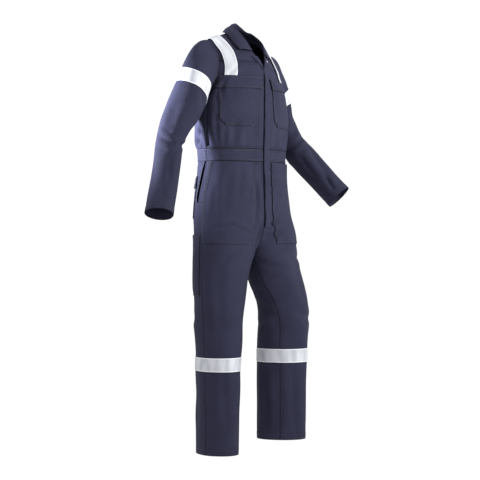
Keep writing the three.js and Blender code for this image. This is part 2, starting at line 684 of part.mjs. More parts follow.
function lapels() {
  for (const { side, word } of sides) {
    const body = frontBody(side);
    const edge = (v) => uAtDistance(body, v, lapelWidth(v).width);
    const rows = even(lapelRows.break, lapelRows.notch, 5);
    sheetWall(`lapel_${word}`, navy, patch(body, () => 0, edge), [0, 0.5, 1], rows, {
      lift: overCloth,
      shape: (u) => 1.2 * Math.sin(Math.PI * Math.min(1, u + 0.3)),
    });
  }
  const body = frontBody(1);
  const v = 6.35;
  const at = body.at(uAtDistance(body, v, studInset), v);
  const ahead = body.at(uAtDistance(body, v, studInset + 1), v).sub(at);
  const up = body.at(uAtDistance(body, v + 0.02, studInset), v + 0.02).sub(at);
  const normal = ahead.cross(up).normalize();
  const disc = new THREE.CylinderGeometry(studRadius * 0.85, studRadius, studHeight, 12);
  const stud = new THREE.Mesh(disc, new THREE.MeshStandardMaterial(steel));
  stud.name = 'collar_stud';
  stud.quaternion.setFromUnitVectors(new THREE.Vector3(0, 1, 0), normal);
  stud.position.copy(at).addScaledVector(normal, overPocket + studHeight / 2 + studGap);
  suit.add(stud);
}

// The strip that hides the zip lies on the left front, from the lapel's break down to the crotch seam
function flyStrip() {
  const body = frontBody(1);
  const lower = trouserBody(1);
  const centreRow = (z) => {
    let [low, high] = [0, yokeFrontRow];
    for (let i = 0; i < 30; i += 1) {
      const mid = (low + high) / 2;
      if (frontRibs(mid).zi < z) low = mid;
      else high = mid;
    }
    return low;
  };
  const strip = {
    at: (a, z) => {
      const width = Math.min(flyWidth, 8 + (flyTop - z) * 0.5);
      if (z > waistTop) return body.at(a * uAtDistance(body, centreRow(z), width), centreRow(z));
      return lower.at(a * uAtDistance(lower, z, width), z);
    },
    sign: 1,
  };
  const upper = frontRows.filter((v) => frontRibs(v).zi < flyTop - 5).map((v) => frontRibs(v).zi);
  const rows = [flyBottom, ...frontHipRows.filter((z) => z > flyBottom), ...upper, flyTop];
  sheetWall('fly_strip', navy, strip, [0, 0.5, 1], rows, { lift: overCloth });
}

// A flap stands further out at its free edge (v = 0) than along its seam
const flapHang = (u, v) => 1.5 * (1 - v) - 4.8 * Math.max(0, v - 0.75);
const centreEdge = (body, distance) => (v) => uAtDistance(body, v, distance(v));
const armholeEdge = (body, distance) => (v) => uAtDistance(body, v, distance(v), true);

function chestPockets() {
  const bottom = chestPocket.bottomRow;
  for (const { side, word } of sides) {
    const body = frontBody(side);
    const { inner, outer, slant } = chestPocket[word];
    const corner = (v) => chestPocket.corner * clamp01(1 - (v - bottom) / chestPocket.cornerRows);
    const lean = (v) => slant * clamp01((chestPocket.topRow - v) / (chestPocket.topRow - bottom));
    const from = centreEdge(body, (v) => inner + lean(v) + corner(v));
    const to = centreEdge(body, (v) => outer + lean(v) - corner(v));
    const rows = [bottom, 1.5, bottom + chestPocket.cornerRows, 2, 2.5, 3, 3.6, chestPocket.topRow];
    const pocket = patch(body, from, to, inside(frontColumns));
    sheetWall(`chest_pocket_${word}`, navy, pocket, pocket.columns, rows, { lift: overCloth });
    const flap = chestFlap[word];
    const height = (v) => (v - flapBottomRow) / (flapTopRow - flapBottomRow);
    const flapFrom = centreEdge(body, (v) => flap.inner + flap.innerSlant * (1 - height(v)));
    const flapTo = armholeEdge(body, (v) => flap.outer + flap.outerSlant * (1 - height(v)));
    const cover = patch(body, flapFrom, flapTo, inside(frontColumns));
    sheetWall(`chest_flap_${word}`, navy, cover, cover.columns, [flapBottomRow, 3.6, 4.2, flapTopRow], {
      lift: overPocket,
      shape: flapHang,
    });
  }
}

function hipPockets() {
  for (const { side, word } of sides) {
    const body = trouserBody(side);
    const innerLine = smooth(table(['z', 'd'], [[-762, 70], [-700, 50], [-640, 42], [-466, 40]]), 'z');
    const mouth = smooth(table(['z', 's'], [[-762, 0.497], [-610, 0.497], [-540, 0.48], [-466, 0.455]]), 'z');
    const from = (z) => uAtDistance(body, z, innerLine(z).d);
    const rows = [hipPocketBottom, ...frontHipRows.slice(0, -1), waistBottom - 4];
    const pocket = patch(body, from, (z) => mouth(z).s, inside(hipColumns));
    sheetWall(`hip_pocket_${word}`, navy, pocket, pocket.columns, rows, { lift: overCloth, keepSide: side });
  }
}

function seatPockets() {
  const lines = (from, to) => [(0.5 + seatColumns[0]) / 2, ...seatColumns].filter((u) => u > from && u < to);
  for (const { side, word } of sides) {
    const body = trouserBody(side);
    const { from, to, top, bottom, flapDrop: drop } = seatPocket;
    const pocket = patch(body, () => from, () => to, lines(from, to));
    const pocketRows = [bottom, ...seatRows.slice(0, 3), top - seamAllowance];
    sheetWall(`seat_pocket_${word}`, navy, pocket, pocket.columns, pocketRows, { lift: overCloth });
    const cover = patch(body, () => from - 0.012, () => to + 0.012, lines(from, to));
    sheetWall(`seat_flap_${word}`, navy, cover, cover.columns, [top - drop, top - seamAllowance, top], {
      lift: overPocket,
      shape: flapHang,
    });
  }
  const { from, to, top, bottom } = rulePocket;
  const thigh = patch(trouserBody(-1), () => from, () => to, lines(from, to));
  const rows = [bottom, ...thighRows.filter((z) => z > bottom), frontHipRows[0], top];
  sheetWall('rule_pocket', navy, thigh, thigh.columns, rows, { lift: overCloth });
}

// A band round a sleeve between two planes, let down a little under the arm
function sleeveTape(side, word) {
  const body = sleeveBody(side);
  const { x, y, z, lean } = sleeveTapePlace[word];
  const from = new THREE.Vector3(x, y, z);
  const along = new THREE.Vector3(...lean).normalize();
  const onFacets = (t, d) => {
    const i = sleeveRows.findIndex((row) => row > d);
    const [before, after] = [sleeveRows[i - 1], sleeveRows[i]];
    return body.at(t, before).lerp(body.at(t, after), (d - before) / (after - before));
  };
  const at = (t, k) => {
    const under = 40 * ((1 + Math.cos(t * 2 * Math.PI)) / 2) ** 3;
    const goal = under + lerp(-tapeWidth / 2, tapeWidth / 2, k);
    let [low, high] = [0, 260];
    for (let i = 0; i < 40; i += 1) {
      const mid = (low + high) / 2;
      if (onFacets(t, mid).sub(from).dot(along) < goal) low = mid;
      else high = mid;
    }
    return onFacets(t, low);
  };
  sheetWall(`sleeve_tape_${word}`, silver, { at, sign: body.sign }, even(0, 1, 18), even(0, 1, 5), {
    lift: roundTapeLift,
    wall: tapeWall,
    tube: true,
  });
}

function tapes() {
  for (const { side, word } of sides) {
    const body = frontBody(side);
    const edge = (extra) => armholeEdge(body, (v) => shoulderTape(v)[word] + extra);
    const rows = [flapTopRow + 0.03, ...even(5, 10, 10), 10.6, 11.3, yokeBackRow - 0.05];
    const over = patch(body, edge(shoulderTapeWidth), edge(0));
    sheetWall(`shoulder_tape_${word}`, silver, over, [0, 0.5, 1], rows, {
      lift: shoulderTapeLift,
      wall: tapeWall,
    });
    sleeveTape(side, word);
    const ring = [...hipColumns, (0.5 + seatColumns[0]) / 2, ...seatColumns, 1];
    const top = legTapeTop[word];
    sheetWall(`leg_tape_${word}`, silver, trouserBody(side), ring, [top - tapeWidth, top], {
      lift: overCloth,
      wall: tapeWall,
      tube: true,
    });
  }
}

bodice();
trousers();
sleeves();
collar();
lapels();
flyStrip();
chestPockets();
hipPockets();
seatPockets();
tapes();

export default suit;
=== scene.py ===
import math

import bpy
import numpy as np
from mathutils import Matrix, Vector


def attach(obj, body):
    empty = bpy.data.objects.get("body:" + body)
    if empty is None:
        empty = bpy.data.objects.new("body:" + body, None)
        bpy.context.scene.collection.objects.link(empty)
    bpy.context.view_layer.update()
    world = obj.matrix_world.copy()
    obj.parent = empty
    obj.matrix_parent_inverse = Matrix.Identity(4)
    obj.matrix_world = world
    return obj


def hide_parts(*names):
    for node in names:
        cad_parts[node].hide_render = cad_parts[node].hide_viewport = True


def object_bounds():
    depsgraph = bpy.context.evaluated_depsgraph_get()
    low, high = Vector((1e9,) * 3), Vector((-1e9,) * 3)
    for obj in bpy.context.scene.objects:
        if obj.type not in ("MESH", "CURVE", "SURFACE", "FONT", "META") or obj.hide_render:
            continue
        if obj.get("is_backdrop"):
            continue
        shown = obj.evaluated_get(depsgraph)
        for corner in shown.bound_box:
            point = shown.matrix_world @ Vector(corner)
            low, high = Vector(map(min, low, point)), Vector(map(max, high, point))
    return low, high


# Boiler suit as it is worn, hollow. Cut and folds are worked out in millimetres and put down in metres.
# The front faces -Y, the wearer's right is -X, and the origin lies between the shoulders.
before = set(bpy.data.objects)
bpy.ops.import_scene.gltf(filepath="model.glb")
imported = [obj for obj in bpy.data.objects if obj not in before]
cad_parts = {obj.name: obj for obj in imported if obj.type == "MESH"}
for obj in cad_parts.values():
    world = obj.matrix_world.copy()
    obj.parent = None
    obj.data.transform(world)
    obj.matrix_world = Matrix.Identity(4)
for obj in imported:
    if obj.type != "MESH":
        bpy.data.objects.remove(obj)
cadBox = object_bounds()
mm = 0.001
sideNames = {-1: "right", 1: "left"}

# Camera and frame
view = {"place": (-3.751, -4.0205, -0.755), "towards": (0.682, 0.731, 0.0), "lens": 111.5, "shiftY": 2 / 480}


def makeCamera():
    data = bpy.data.cameras.new("camera")
    data.lens, data.sensor_width, data.shift_y = view["lens"], 36, view["shiftY"]
    data.clip_start, data.clip_end = 0.1, 1000
    camera = bpy.data.objects.new("camera", data)
    bpy.context.scene.collection.objects.link(camera)
    camera.location = view["place"]
    angle = math.atan2(view["towards"][1], view["towards"][0])
    camera.rotation_euler = (math.pi / 2, 0, angle - math.pi / 2)
    bpy.context.scene.camera = camera


makeCamera()


# Small maths used by every piece
def lerp(a, b, t):
    return a + (b - a) * t


def ease(t):
    t = np.clip(t, 0, 1)
    return t * t * (3 - 2 * t)


def bump(x, width):  # 1 at 0, falling to 0 over about the width
    return np.exp(-(x / width) ** 2)


def smooth(columns, rows):  # smooth interpolation of each column along the first
    data = np.array(sorted(rows), float)
    keys, values = data[:, 0], data[:, 1:]
    n = len(keys)
    before, after = np.maximum(np.arange(n) - 1, 0), np.minimum(np.arange(n) + 1, n - 1)
    slopes = (values[after] - values[before]) / (keys[after] - keys[before])[:, None]

    def at(x):
        x = np.asarray(x, float)
        i = np.clip(np.searchsorted(keys, x, side="right") - 1, 0, n - 2)
        span = keys[i + 1] - keys[i]
        t = np.clip((x - keys[i]) / span, 0, 1)[..., None]
        span = span[..., None]
        value = ((2 * t**3 - 3 * t**2 + 1) * values[i] + (t**3 - 2 * t**2 + t) * span * slopes[i]
                 + (3 * t**2 - 2 * t**3) * values[i + 1] + (t**3 - t**2) * span * slopes[i + 1])
        return {name: value[..., k] for k, name in enumerate(columns[1:])}

    return at


def bezier(a, b, c, d, t):
    s = 1 - t
    return s**3 * a + 3 * s * s * t * b + 3 * s * t * t * c + t**3 * d


def stack(*axes):
    return np.stack(np.broadcast_arrays(*axes), -1)


# Shape of the bodice
bodiceSizes = {"leftDrop": 25, "leftBack": 0.26, "settleFrom": -240, "settleTo": -60, "sideSeamTop": 3,
               "yokeFrontRow": 6, "yokeBackRow": 12, "yokeTurn": 0.62}
ribColumns = ["v", "xi", "yi", "zi", "xo", "yo", "zo", "ax", "ay", "az", "bx", "by", "bz"]
frontRibs = smooth(ribColumns, [
    (0, 0, -121, -418, 188, -25, -418, 0.58, 0, 0.33, 1, 0.42, 0.67),
    (1, 0, -123, -360, 196, -24, -360, 0.58, 0, 0.33, 1, 0.42, 0.67),
    (2, 0, -125, -290, 196, -20, -286, 0.58, 0, 0.33, 1, 0.42, 0.67),
    (3, 0, -126, -215, 178, -16, -212, 0.6, 0, 0.33, 1, 0.4, 0.67),
    (3.6, 0, -126, -188, 173, -38, -190, 0.58, 0, 0.33, 0.94, 0.42, 0.67),
    (4.3, 0, -126, -165, 165, -53, -165, 0.56, 0, 0.33, 0.9, 0.42, 0.67),
    (5, 0, -124, -137, 160, -58, -138, 0.54, 0, 0.33, 0.87, 0.44, 0.67),
    (6, 9, -120, -104, 158, -60, -106, 0.5, 0, 0.33, 0.86, 0.45, 0.67),
    (7, 34, -104, -66, 160, -54, -78, 0.42, 0.05, 0.3, 0.8, 0.55, 0.65),
    (8, 62, -66, -24, 169, -38, -52, 0.36, 0.15, 0.25, 0.74, 0.6, 0.62),
    (9, 75, -22, 6, 182, -22, -27, 0.33, 0.33, 0.3, 0.67, 0.67, 0.58),
    (10, 64, 14, 11, 177, 10, -52, 0.35, 0.4, 0.2, 0.72, 0.75, 0.55),
    (11, 45, 33, 14, 168, 34, -92, 0.35, 0.5, 0.14, 0.78, 0.9, 0.5),
    (12, 30, 42, 15, 164, 44, -130, 0.38, 0.5, 0.12, 0.85, 0.92, 0.45),
])
backRibs = smooth(ribColumns, [
    (0, 0, 119, -418, 188, -25, -418, 0.58, 0, 0.33, 1, 0.42, 0.67),
    (0.2, 0, 119.5, -411, 189, -25, -411, 0.58, 0, 0.33, 1, 0.42, 0.67),
    (0.6, 0, 128, -394, 192, -25, -394, 0.6, 0, 0.33, 1, 0.42, 0.67),
    (1, 0, 129, -360, 197, -24, -360, 0.6, 0, 0.33, 1, 0.42, 0.67),
    (2, 0, 127, -290, 196, -20, -286, 0.58, 0, 0.33, 1, 0.42, 0.67),
    (3, 0, 122, -222, 178, -16, -212, 0.58, 0, 0.33, 1, 0.42, 0.67),
    (3.5, 0, 118, -192, 173, 18, -192, 0.56, 0, 0.33, 0.96, 0.44, 0.67),
    (4.2, 0, 112, -162, 168, 36, -165, 0.55, 0, 0.33, 0.92, 0.45, 0.67),
    (5, 0, 104, -132, 164, 44, -130, 0.54, 0, 0.33, 0.9, 0.46, 0.67),
])


def settle(p, side):  # the far shoulder sits lower and further back
    x, y, z = p[..., 0], p[..., 1], p[..., 2]
    w = ease((z - bodiceSizes["settleFrom"]) / (bodiceSizes["settleTo"] - bodiceSizes["settleFrom"]))
    left = stack(x, y + bodiceSizes["leftBack"] * x * w, z - bodiceSizes["leftDrop"] * ease(x / 90) * w)
    return np.where(np.asarray(side)[..., None] < 0, stack(-x, y, z), left)


def ribPoint(rib, u):
    def axis(k):
        a, d = rib[k + "i"], rib[k + "o"] - rib[k + "i"]
        return bezier(a, a + d * rib["a" + k], a + d * rib["b" + k], a + d, u)
    return stack(axis("x"), axis("y"), axis("z"))


seamRows = np.linspace(0, bodiceSizes["sideSeamTop"], 400)
seamLine = frontRibs(seamRows)


def backRib(v):  # front and back meet on one side seam
    rib = backRibs(v)
    low = np.asarray(v) < bodiceSizes["sideSeamTop"]
    rib["xo"] = np.where(low, np.interp(rib["zo"], seamLine["zo"], seamLine["xo"]), rib["xo"])
    rib["yo"] = np.where(low, np.interp(rib["zo"], seamLine["zo"], seamLine["yo"]), rib["yo"])
    return rib


def yokePoint(q, u):  # q runs from the front yoke seam (0) over the shoulder to the centre back (1)
    turn = bodiceSizes["yokeTurn"]
    q, u = np.broadcast_arrays(q, u)
    rows = lerp(bodiceSizes["yokeFrontRow"], bodiceSizes["yokeBackRow"], np.minimum(q, turn) / turn)
    front = ribPoint(frontRibs(rows), u)
    along = np.clip((q - turn) / (1 - turn), 0, 1)
    neck = backNeck(np.maximum(q, turn))
    low = ribPoint(backRibs(np.full(q.shape, 5.0)), 1 - along)
    high = frontRibs(np.array(float(bodiceSizes["yokeBackRow"])))
    start = stack(neck["x"], neck["y"], neck["z"])
    d = low - start
    back = stack(*[bezier(start[..., i], start[..., i] + d[..., i] * high["a" + k],
                          start[..., i] + d[..., i] * high["b" + k], low[..., i], u) for i, k in enumerate("xyz")])
    return np.where((q <= turn)[..., None], front, back)


backNeck = smooth(["q", "x", "y", "z"], [(0.62, 30, 42, 15), (0.8, 13, 46.5, 16), (1, 0, 48, 16)])

# Shape of the trousers
hipSize = smooth(["z", "wide", "front", "back", "sideY"], [
    (-418, 188, -121, 119, -25), (-440, 185, -121, 119, -25), (-465, 184, -121, 119, -25),
    (-520, 188, -123, 124, -24), (-580, 196, -126, 128, -22), (-660, 203, -130, 128, -24),
    (-720, 208, -134, 124, -26), (-790, 214, -138, 118, -28),
])
legColumns = ["z", "x", "y", "across", "deep", "turn", "inseamY"]
legSize = {
    -1: smooth(legColumns, [
        (-640, 108, -26, 107.5, 112, 0, -50), (-720, 108, -26, 107.5, 108, 0, -60),
        (-782, 108, -24, 107.5, 102, 0, -62), (-830, 110, -18, 103, 99, 0, -40),
        (-900, 111, -10, 96, 96, 0, -18), (-1030, 112, -4, 85, 92, 0, -4),
        (-1210, 111, 0, 73, 90, 0, 0), (-1400, 111, 3, 67, 89, 0, 0), (-1560, 111, 6, 63, 88, 0, 0),
    ]),
    1: smooth(legColumns, [
        (-640, 108, -26, 107.5, 112, 0, -50), (-720, 108, -29, 107.5, 110, 0, -60),
        (-782, 108, -33, 107.5, 104, 0, -62), (-830, 111, -45, 103, 102, 10, -50),
        (-900, 116, -70, 95, 99, 20, -62), (-960, 128, -84, 88, 94, 28, -78),
        (-1030, 136, -90, 84, 92, 34, -90), (-1150, 138, -82, 74, 93, 38, -82),
        (-1330, 137, -80, 68, 91, 40, -80), (-1500, 136, -80, 63, 89, 40, -80),
    ]),
}
hipSizes = {"waistTop": -418, "waistBottom": -462, "riseStart": -640, "crotch": -782, "roundness": 0.58,
            "slitBottom": -612, "hem": {-1: -1527, 1: -1484}}
slitLine = smooth(["z", "front", "back"], [
    (-620, 0.57, 0.5), (-612, 0.57, 0.59), (-560, 0.55, 0.582), (-500, 0.522, 0.548), (-462, 0.507, 0.52),
])


def quarter(a, b, alongX, t):
    k = hipSizes["roundness"]
    c = (lerp(a[0], b[0], k), a[1]) if alongX else (a[0], lerp(a[1], b[1], k))
    d = (b[0], lerp(b[1], a[1], k)) if alongX else (lerp(b[0], a[0], k), b[1])
    return bezier(a[0], c[0], d[0], b[0], t), bezier(a[1], c[1], d[1], b[1], t)


def hipPoint(s, z, side):  # s: 0 centre front or inseam, 0.5 side seam, 1 centre back or inseam
    s, z = np.broadcast_arrays(s, z)
    hip = hipSize(np.maximum(z, -790))
    outer = (hip["wide"], hip["sideY"])
    zero = np.zeros(s.shape)
    before = quarter((zero, hip["front"]), outer, True, np.clip(s * 2, 0, 1))
    behind = quarter(outer, (zero, hip["back"]), False, np.clip(s * 2 - 1, 0, 1))
    half = [np.where(s <= 0.5, before[i], behind[i]) for i in range(2)]
    leg = legSize[side](np.minimum(z, hipSizes["riseStart"]))
    t = np.clip((hipSizes["riseStart"] - z) / (hipSizes["riseStart"] - hipSizes["crotch"]), 0, 1)
    w = lerp(1 - np.sqrt(1 - t * t), ease(t), np.sin(np.pi * s))
    inseam = (leg["x"] - leg["across"], leg["inseamY"])
    key = [inseam, (leg["x"], leg["y"] - leg["deep"]), (leg["x"] + leg["across"], leg["y"] - 14),
           (leg["x"], leg["y"] + leg["deep"]), inseam]
    ringX, ringY = zero.copy(), zero.copy()
    for i in range(4):
        part = (s * 4 >= i) & ((s * 4 < i + 1) | (i == 3))
        x, y = quarter(key[i], key[i + 1], i % 2 == 1, np.clip(s * 4 - i, 0, 1))
        ringX, ringY = np.where(part, x, ringX), np.where(part, y, ringY)
    turn = np.radians(leg["turn"])
    dx, dy = ringX - leg["x"], ringY - leg["y"]
    x = leg["x"] + dx * np.cos(turn) - dy * np.sin(turn)
    y = leg["y"] + dx * np.sin(turn) + dy * np.cos(turn)
    return stack(side * np.maximum(0.3, lerp(half[0], x, w)), lerp(half[1], y, w), z)


# Shape of the sleeves
sleeveColumns = ["d", "x", "y", "z", "across", "deep"]
sleeveRings = {
    -1: smooth(sleeveColumns, [
        (110, 245, -11, -204, 60, 66), (190, 274, -1, -280, 62, 69), (250, 307, 8, -338, 54, 61),
        (310, 328, 15, -397, 46, 53), (385, 346, 8, -470, 45, 52), (480, 374, -6, -563, 45, 53),
        (580, 410, -25, -658, 47, 55),
    ]),
    1: smooth(sleeveColumns, [
        (110, 240, 56, -226, 50, 62), (175, 250, 50, -290, 49, 60), (215, 253, 32, -325, 49, 58),
        (275, 260, -6, -385, 49, 54), (350, 284, -54, -442, 48, 53), (450, 318, -112, -515, 47, 52),
        (555, 353, -170, -586, 46, 53),
    ]),
}
sleeveSizes = {"capEnd": 110, "cuff": {-1: 580, 1: 555},
               "tape": {-1: ((-236, -15, -184), (-0.43, 0.1, -0.9)), 1: ((232, 50, -200), (0.3, 0.1, -0.95))}}
armholeFront = smooth(["t", "v"], [(0, 3), (0.08, 3.6), (0.25, 5), (0.34, 6.4), (0.5, 9)])
armholeBack = smooth(["t", "v"], [(0.5, 9), (0.62, 10.6), (0.7, 12)])
armholeLow = smooth(["t", "v"], [(0.7, 5), (0.82, 4.1), (0.92, 3.45), (1, 3)])


def armhole(t, side):
    front = ribPoint(frontRibs(armholeFront(np.minimum(t, 0.5))["v"]), 1.0)
    back = ribPoint(frontRibs(armholeBack(np.clip(t, 0.5, 0.7))["v"]), 1.0)
    low = ribPoint(backRibs(armholeLow(np.maximum(t, 0.7))["v"]), 1.0)
    loop = np.where((t <= 0.5)[..., None], front, np.where((t <= 0.7)[..., None], back, low))
    return settle(loop, side)


def unit(v):
    return v / np.maximum(1e-9, np.linalg.norm(v, axis=-1, keepdims=True))


def sleevePoint(t, d, side):
    t, d = np.broadcast_arrays(t, d)
    rings, capEnd, cuff = sleeveRings[side], sleeveSizes["capEnd"], sleeveSizes["cuff"][side]

    def centre(at):
        r = rings(at)
        return stack(r["x"] * side, r["y"], r["z"])

    def ring(at):
        r = rings(at)
        along = unit(centre(np.minimum(cuff, at + 8)) - centre(np.maximum(capEnd, at - 8)))
        front = np.array([0.0, -1.0, 0.0]) - along * (-along[..., 1:2])
        front = unit(front)
        out = np.cross(front, along) * side
        turn = t * 2 * np.pi
        return (centre(at) + out * (-np.cos(turn) * r["across"])[..., None]
                + front * (np.sin(turn) * r["deep"])[..., None])

    a = armhole(t, side)
    lift = lerp(0.8, 4.5, (1 + np.cos(t * 2 * np.pi)) / 2) * side
    a = a + stack(lift, 0 * lift, 0 * lift)
    capAt = np.full(t.shape, float(capEnd))
    b = ring(capAt)
    after = (ring(capAt + 4) - b) * 0.25
    top = (1 - np.cos(t * 2 * np.pi)) / 2
    k = (np.minimum(d, capEnd) / capEnd)[..., None]
    reach = np.linalg.norm(a - b, axis=-1, keepdims=True)
    share = stack(lerp(0.33, 0.62, top), 0.33 + 0 * top, lerp(0.33, 0.03, top))
    cap = bezier(a, a + (b - a) * share, b - after * reach * 0.33, b, k)
    return np.where((d >= capEnd)[..., None], ring(np.maximum(d, capEnd)), cap)


# Shape of the collar
collarSizes = {"standLift": -0.6, "rollRadius": 2.4, "neckY": -30}
collarLine = smooth(["q", "rollX", "rollY", "rollZ", "fallX", "fallY", "fallZ"], [
    (0.1, 37, -103, -58, 92, -97, -60), (0.2, 57, -74, -5, 97, -66, -32), (0.31, 58, -24, 33, 94, -26, 7),
    (0.45, 45, 3, 39, 68, 20, 15), (0.62, 25, 19, 49, 36, 47, 20), (1, 0, 27, 57, 0, 63, 20),
])


def collarPoint(q, w):
    q, w = np.broadcast_arrays(q, w)
    c = collarLine(1 - np.abs(q))
    seam = yokePoint(1 - np.abs(q), np.zeros(q.shape))
    seam = seam + np.array([0, 0, collarSizes["standLift"]])
    out = unit(stack(c["rollX"], c["rollY"] - collarSizes["neckY"], 0 * c["rollX"]))
    roll, fall = stack(c["rollX"], c["rollY"], c["rollZ"]), stack(c["fallX"], c["fallY"], c["fallZ"])
    r = collarSizes["rollRadius"]
    dip = np.array([0, 0, r * 1.5])
    middle = roll + (fall - roll) * np.array([0.55, 0.55, 0.45])
    section = [seam, (seam + roll) / 2, roll - out * r - dip, roll, roll + out * r - dip, middle + out * 3, fall]
    at = np.array([0, 0.22, 0.42, 0.46, 0.5, 0.75, 1])
    slopes = [(section[min(6, i + 1)] - section[max(0, i - 1)]) / (at[min(6, i + 1)] - at[max(0, i - 1)])
              for i in range(7)]
    point = np.zeros(q.shape + (3,))
    for i in range(6):
        part = ((w >= at[i]) & ((w < at[i + 1]) | (i == 5)))[..., None]
        span = at[i + 1] - at[i]
        t = np.clip((w - at[i]) / span, 0, 1)[..., None]
        value = ((2 * t**3 - 3 * t**2 + 1) * section[i] + (t**3 - 2 * t**2 + t) * span * slopes[i]
                 + (3 * t**2 - 2 * t**3) * section[i + 1] + (t**3 - t**2) * span * slopes[i + 1])
        point = np.where(part, value, point)
    return settle(point, np.where(q < 0, -1, 1))


# Folds
# Each fold is a soft trough from one point to another on the flat cloth: across it in mm (a), height or
# distance down a sleeve (b), its depth, width and the share of a ridge beside it.


def foldRelief(folds, a, b):
    h = np.zeros(np.broadcast(a, b).shape)
    for a0, b0, a1, b1, depth, width, ridge in folds:
        da, db = a1 - a0, b1 - b0
        long = math.hypot(da, db)
        along = ((a - a0) * da + (b - b0) * db) / long
        across = ((a - a0) * db - (b - b0) * da) / long
        past = np.maximum(0, np.maximum(-along, along - long))
        taper = np.sin(np.pi * np.clip((along / long + 0.12) / 1.24, 0, 1)) ** 0.7 * bump(past, width * 1.2)
        depth = depth * (1.7 if depth < 5 else 1)
        h = h + depth * taper * (-bump(across, width) + ridge * bump(across - 1.9 * width, width * 1.1)
                                 + 0.5 * ridge * bump(across + 1.9 * width, width * 1.2))
    return h


def cloth(a, b, seed, size):  # slow unevenness that hanging cloth keeps
    spread = np.random.default_rng(seed)
    h = np.zeros(np.broadcast(a, b).shape)
    for _ in range(7):
        angle, long, phase = spread.uniform(0, np.pi), spread.uniform(70, 190), spread.uniform(0, 6.28)
        h = h + np.sin((a * np.cos(angle) * 0.8 + b * np.sin(angle) * 0.6) * 2 * np.pi / long + phase)
    return h * size / 3.2


print("shapes ready")

# How a piece is laid out: grid lines in mm along the cloth, closer together beside its edges
edgeLines = [0, 1.2, 2.6, 4.2, 6.2, 8, 9.6, 12, 16]
gridStep = 6.5
pieces = {}


def ticks(long, step=gridStep, fineLow=True, fineHigh=True):
    low = [e for e in edgeLines if e < long / 3] if fineLow else [0]
    high = [long - e for e in edgeLines if e < long / 3][::-1] if fineHigh else [long]
    count = max(1, round((high[0] - low[-1]) / step))
    return np.array(low + list(np.linspace(low[-1], high[0], count + 1)[1:-1]) + high) / long


def arcs(points, axis):
    steps = np.linalg.norm(np.diff(points, axis=axis), axis=-1)
    zero = np.zeros_like(np.take(steps, [0], axis=axis))
    return np.concatenate([zero, np.cumsum(steps, axis=axis)], axis=axis)


def normals(points, sign, tube=False):
    if tube:
        ring = points[:, :-1]
        du = np.roll(ring, -1, 1) - np.roll(ring, 1, 1)
        du = np.concatenate([du, du[:, :1]], 1)
    else:
        du = np.gradient(points, axis=1)
    return unit(np.cross(du, np.gradient(points, axis=0))) * sign


def welt(distance, width, height=0.7):  # an edge turned in and topstitched
    flat = height * (1 - ease((distance - width) / 2.5))
    return flat - 0.5 * (bump(distance - 2.6, 1.2) + bump(distance - width + 1.5, 1.2))


def seamDip(distance):  # two panels sewn together: a furrow, then the seam allowance pressed to one side
    return -1.7 * bump(distance, 1.9) + 0.5 * bump(distance - 4.5, 2.6) - 0.35 * bump(distance - 8.5, 1.2)


def makeMesh(name, outer, inner, uv, sign, tube):
    rows, cols = outer.shape[:2]
    wrap = cols - 1 if tube else cols
    vertices = np.concatenate([outer[:, :wrap].reshape(-1, 3), inner[:, :wrap].reshape(-1, 3)]) * mm
    half = rows * wrap
    j, i = [x.ravel() for x in np.meshgrid(np.arange(rows - 1), np.arange(cols - 1), indexing="ij")]
    corner = [(j, i), (j, i + 1), (j + 1, i + 1), (j + 1, i)]
    quads, places = [], []

    def add(points, layers):
        quads.append(np.stack([r * wrap + c % wrap + half * k for (r, c), k in zip(points, layers)], 1))
        places.append(np.stack([uv[r, c] for r, c in points], 1))

    order = corner if sign > 0 else corner[::-1]
    add(order, [0] * 4)
    add(order[::-1], [1] * 4)
    rims = []
    along = np.arange(cols - 1)
    rims.append([(0 * along, along), (0 * along, along + 1)])
    rims.append([(0 * along + rows - 1, along + 1), (0 * along + rows - 1, along)])
    if not tube:
        up = np.arange(rows - 1)
        rims.append([(up + 1, 0 * up), (up, 0 * up)])
        rims.append([(up, 0 * up + cols - 1), (up + 1, 0 * up + cols - 1)])
    for a, b in rims:
        rim = [b, a, a, b] if sign > 0 else [a, b, b, a]
        add(rim, [0, 0, 1, 1])
    quads, places = np.concatenate(quads), np.concatenate(places)
    mesh = bpy.data.meshes.new(name)
    mesh.vertices.add(len(vertices))
    mesh.vertices.foreach_set("co", vertices.astype(np.float32).ravel())
    mesh.loops.add(quads.size)
    mesh.loops.foreach_set("vertex_index", quads.astype(np.int32).ravel())
    mesh.polygons.add(len(quads))
    mesh.polygons.foreach_set("loop_start", np.arange(0, quads.size, 4, dtype=np.int32))
    layer = mesh.uv_layers.new(name="cloth")
    layer.data.foreach_set("uv", (places * mm).astype(np.float32).ravel())
    mesh.update(calc_edges=True)
    mesh.validate()
    mesh.shade_smooth()
    mesh.set_sharp_from_angle(angle=math.radians(55))
    made = bpy.data.objects.new(name, mesh)
    bpy.context.scene.collection.objects.link(made)
    return made


def areaOf(points):
    a, b = points[1:, 1:] - points[:-1, :-1], points[1:, :-1] - points[:-1, 1:]
    return float(np.linalg.norm(np.cross(a, b), axis=-1).sum() / 2)


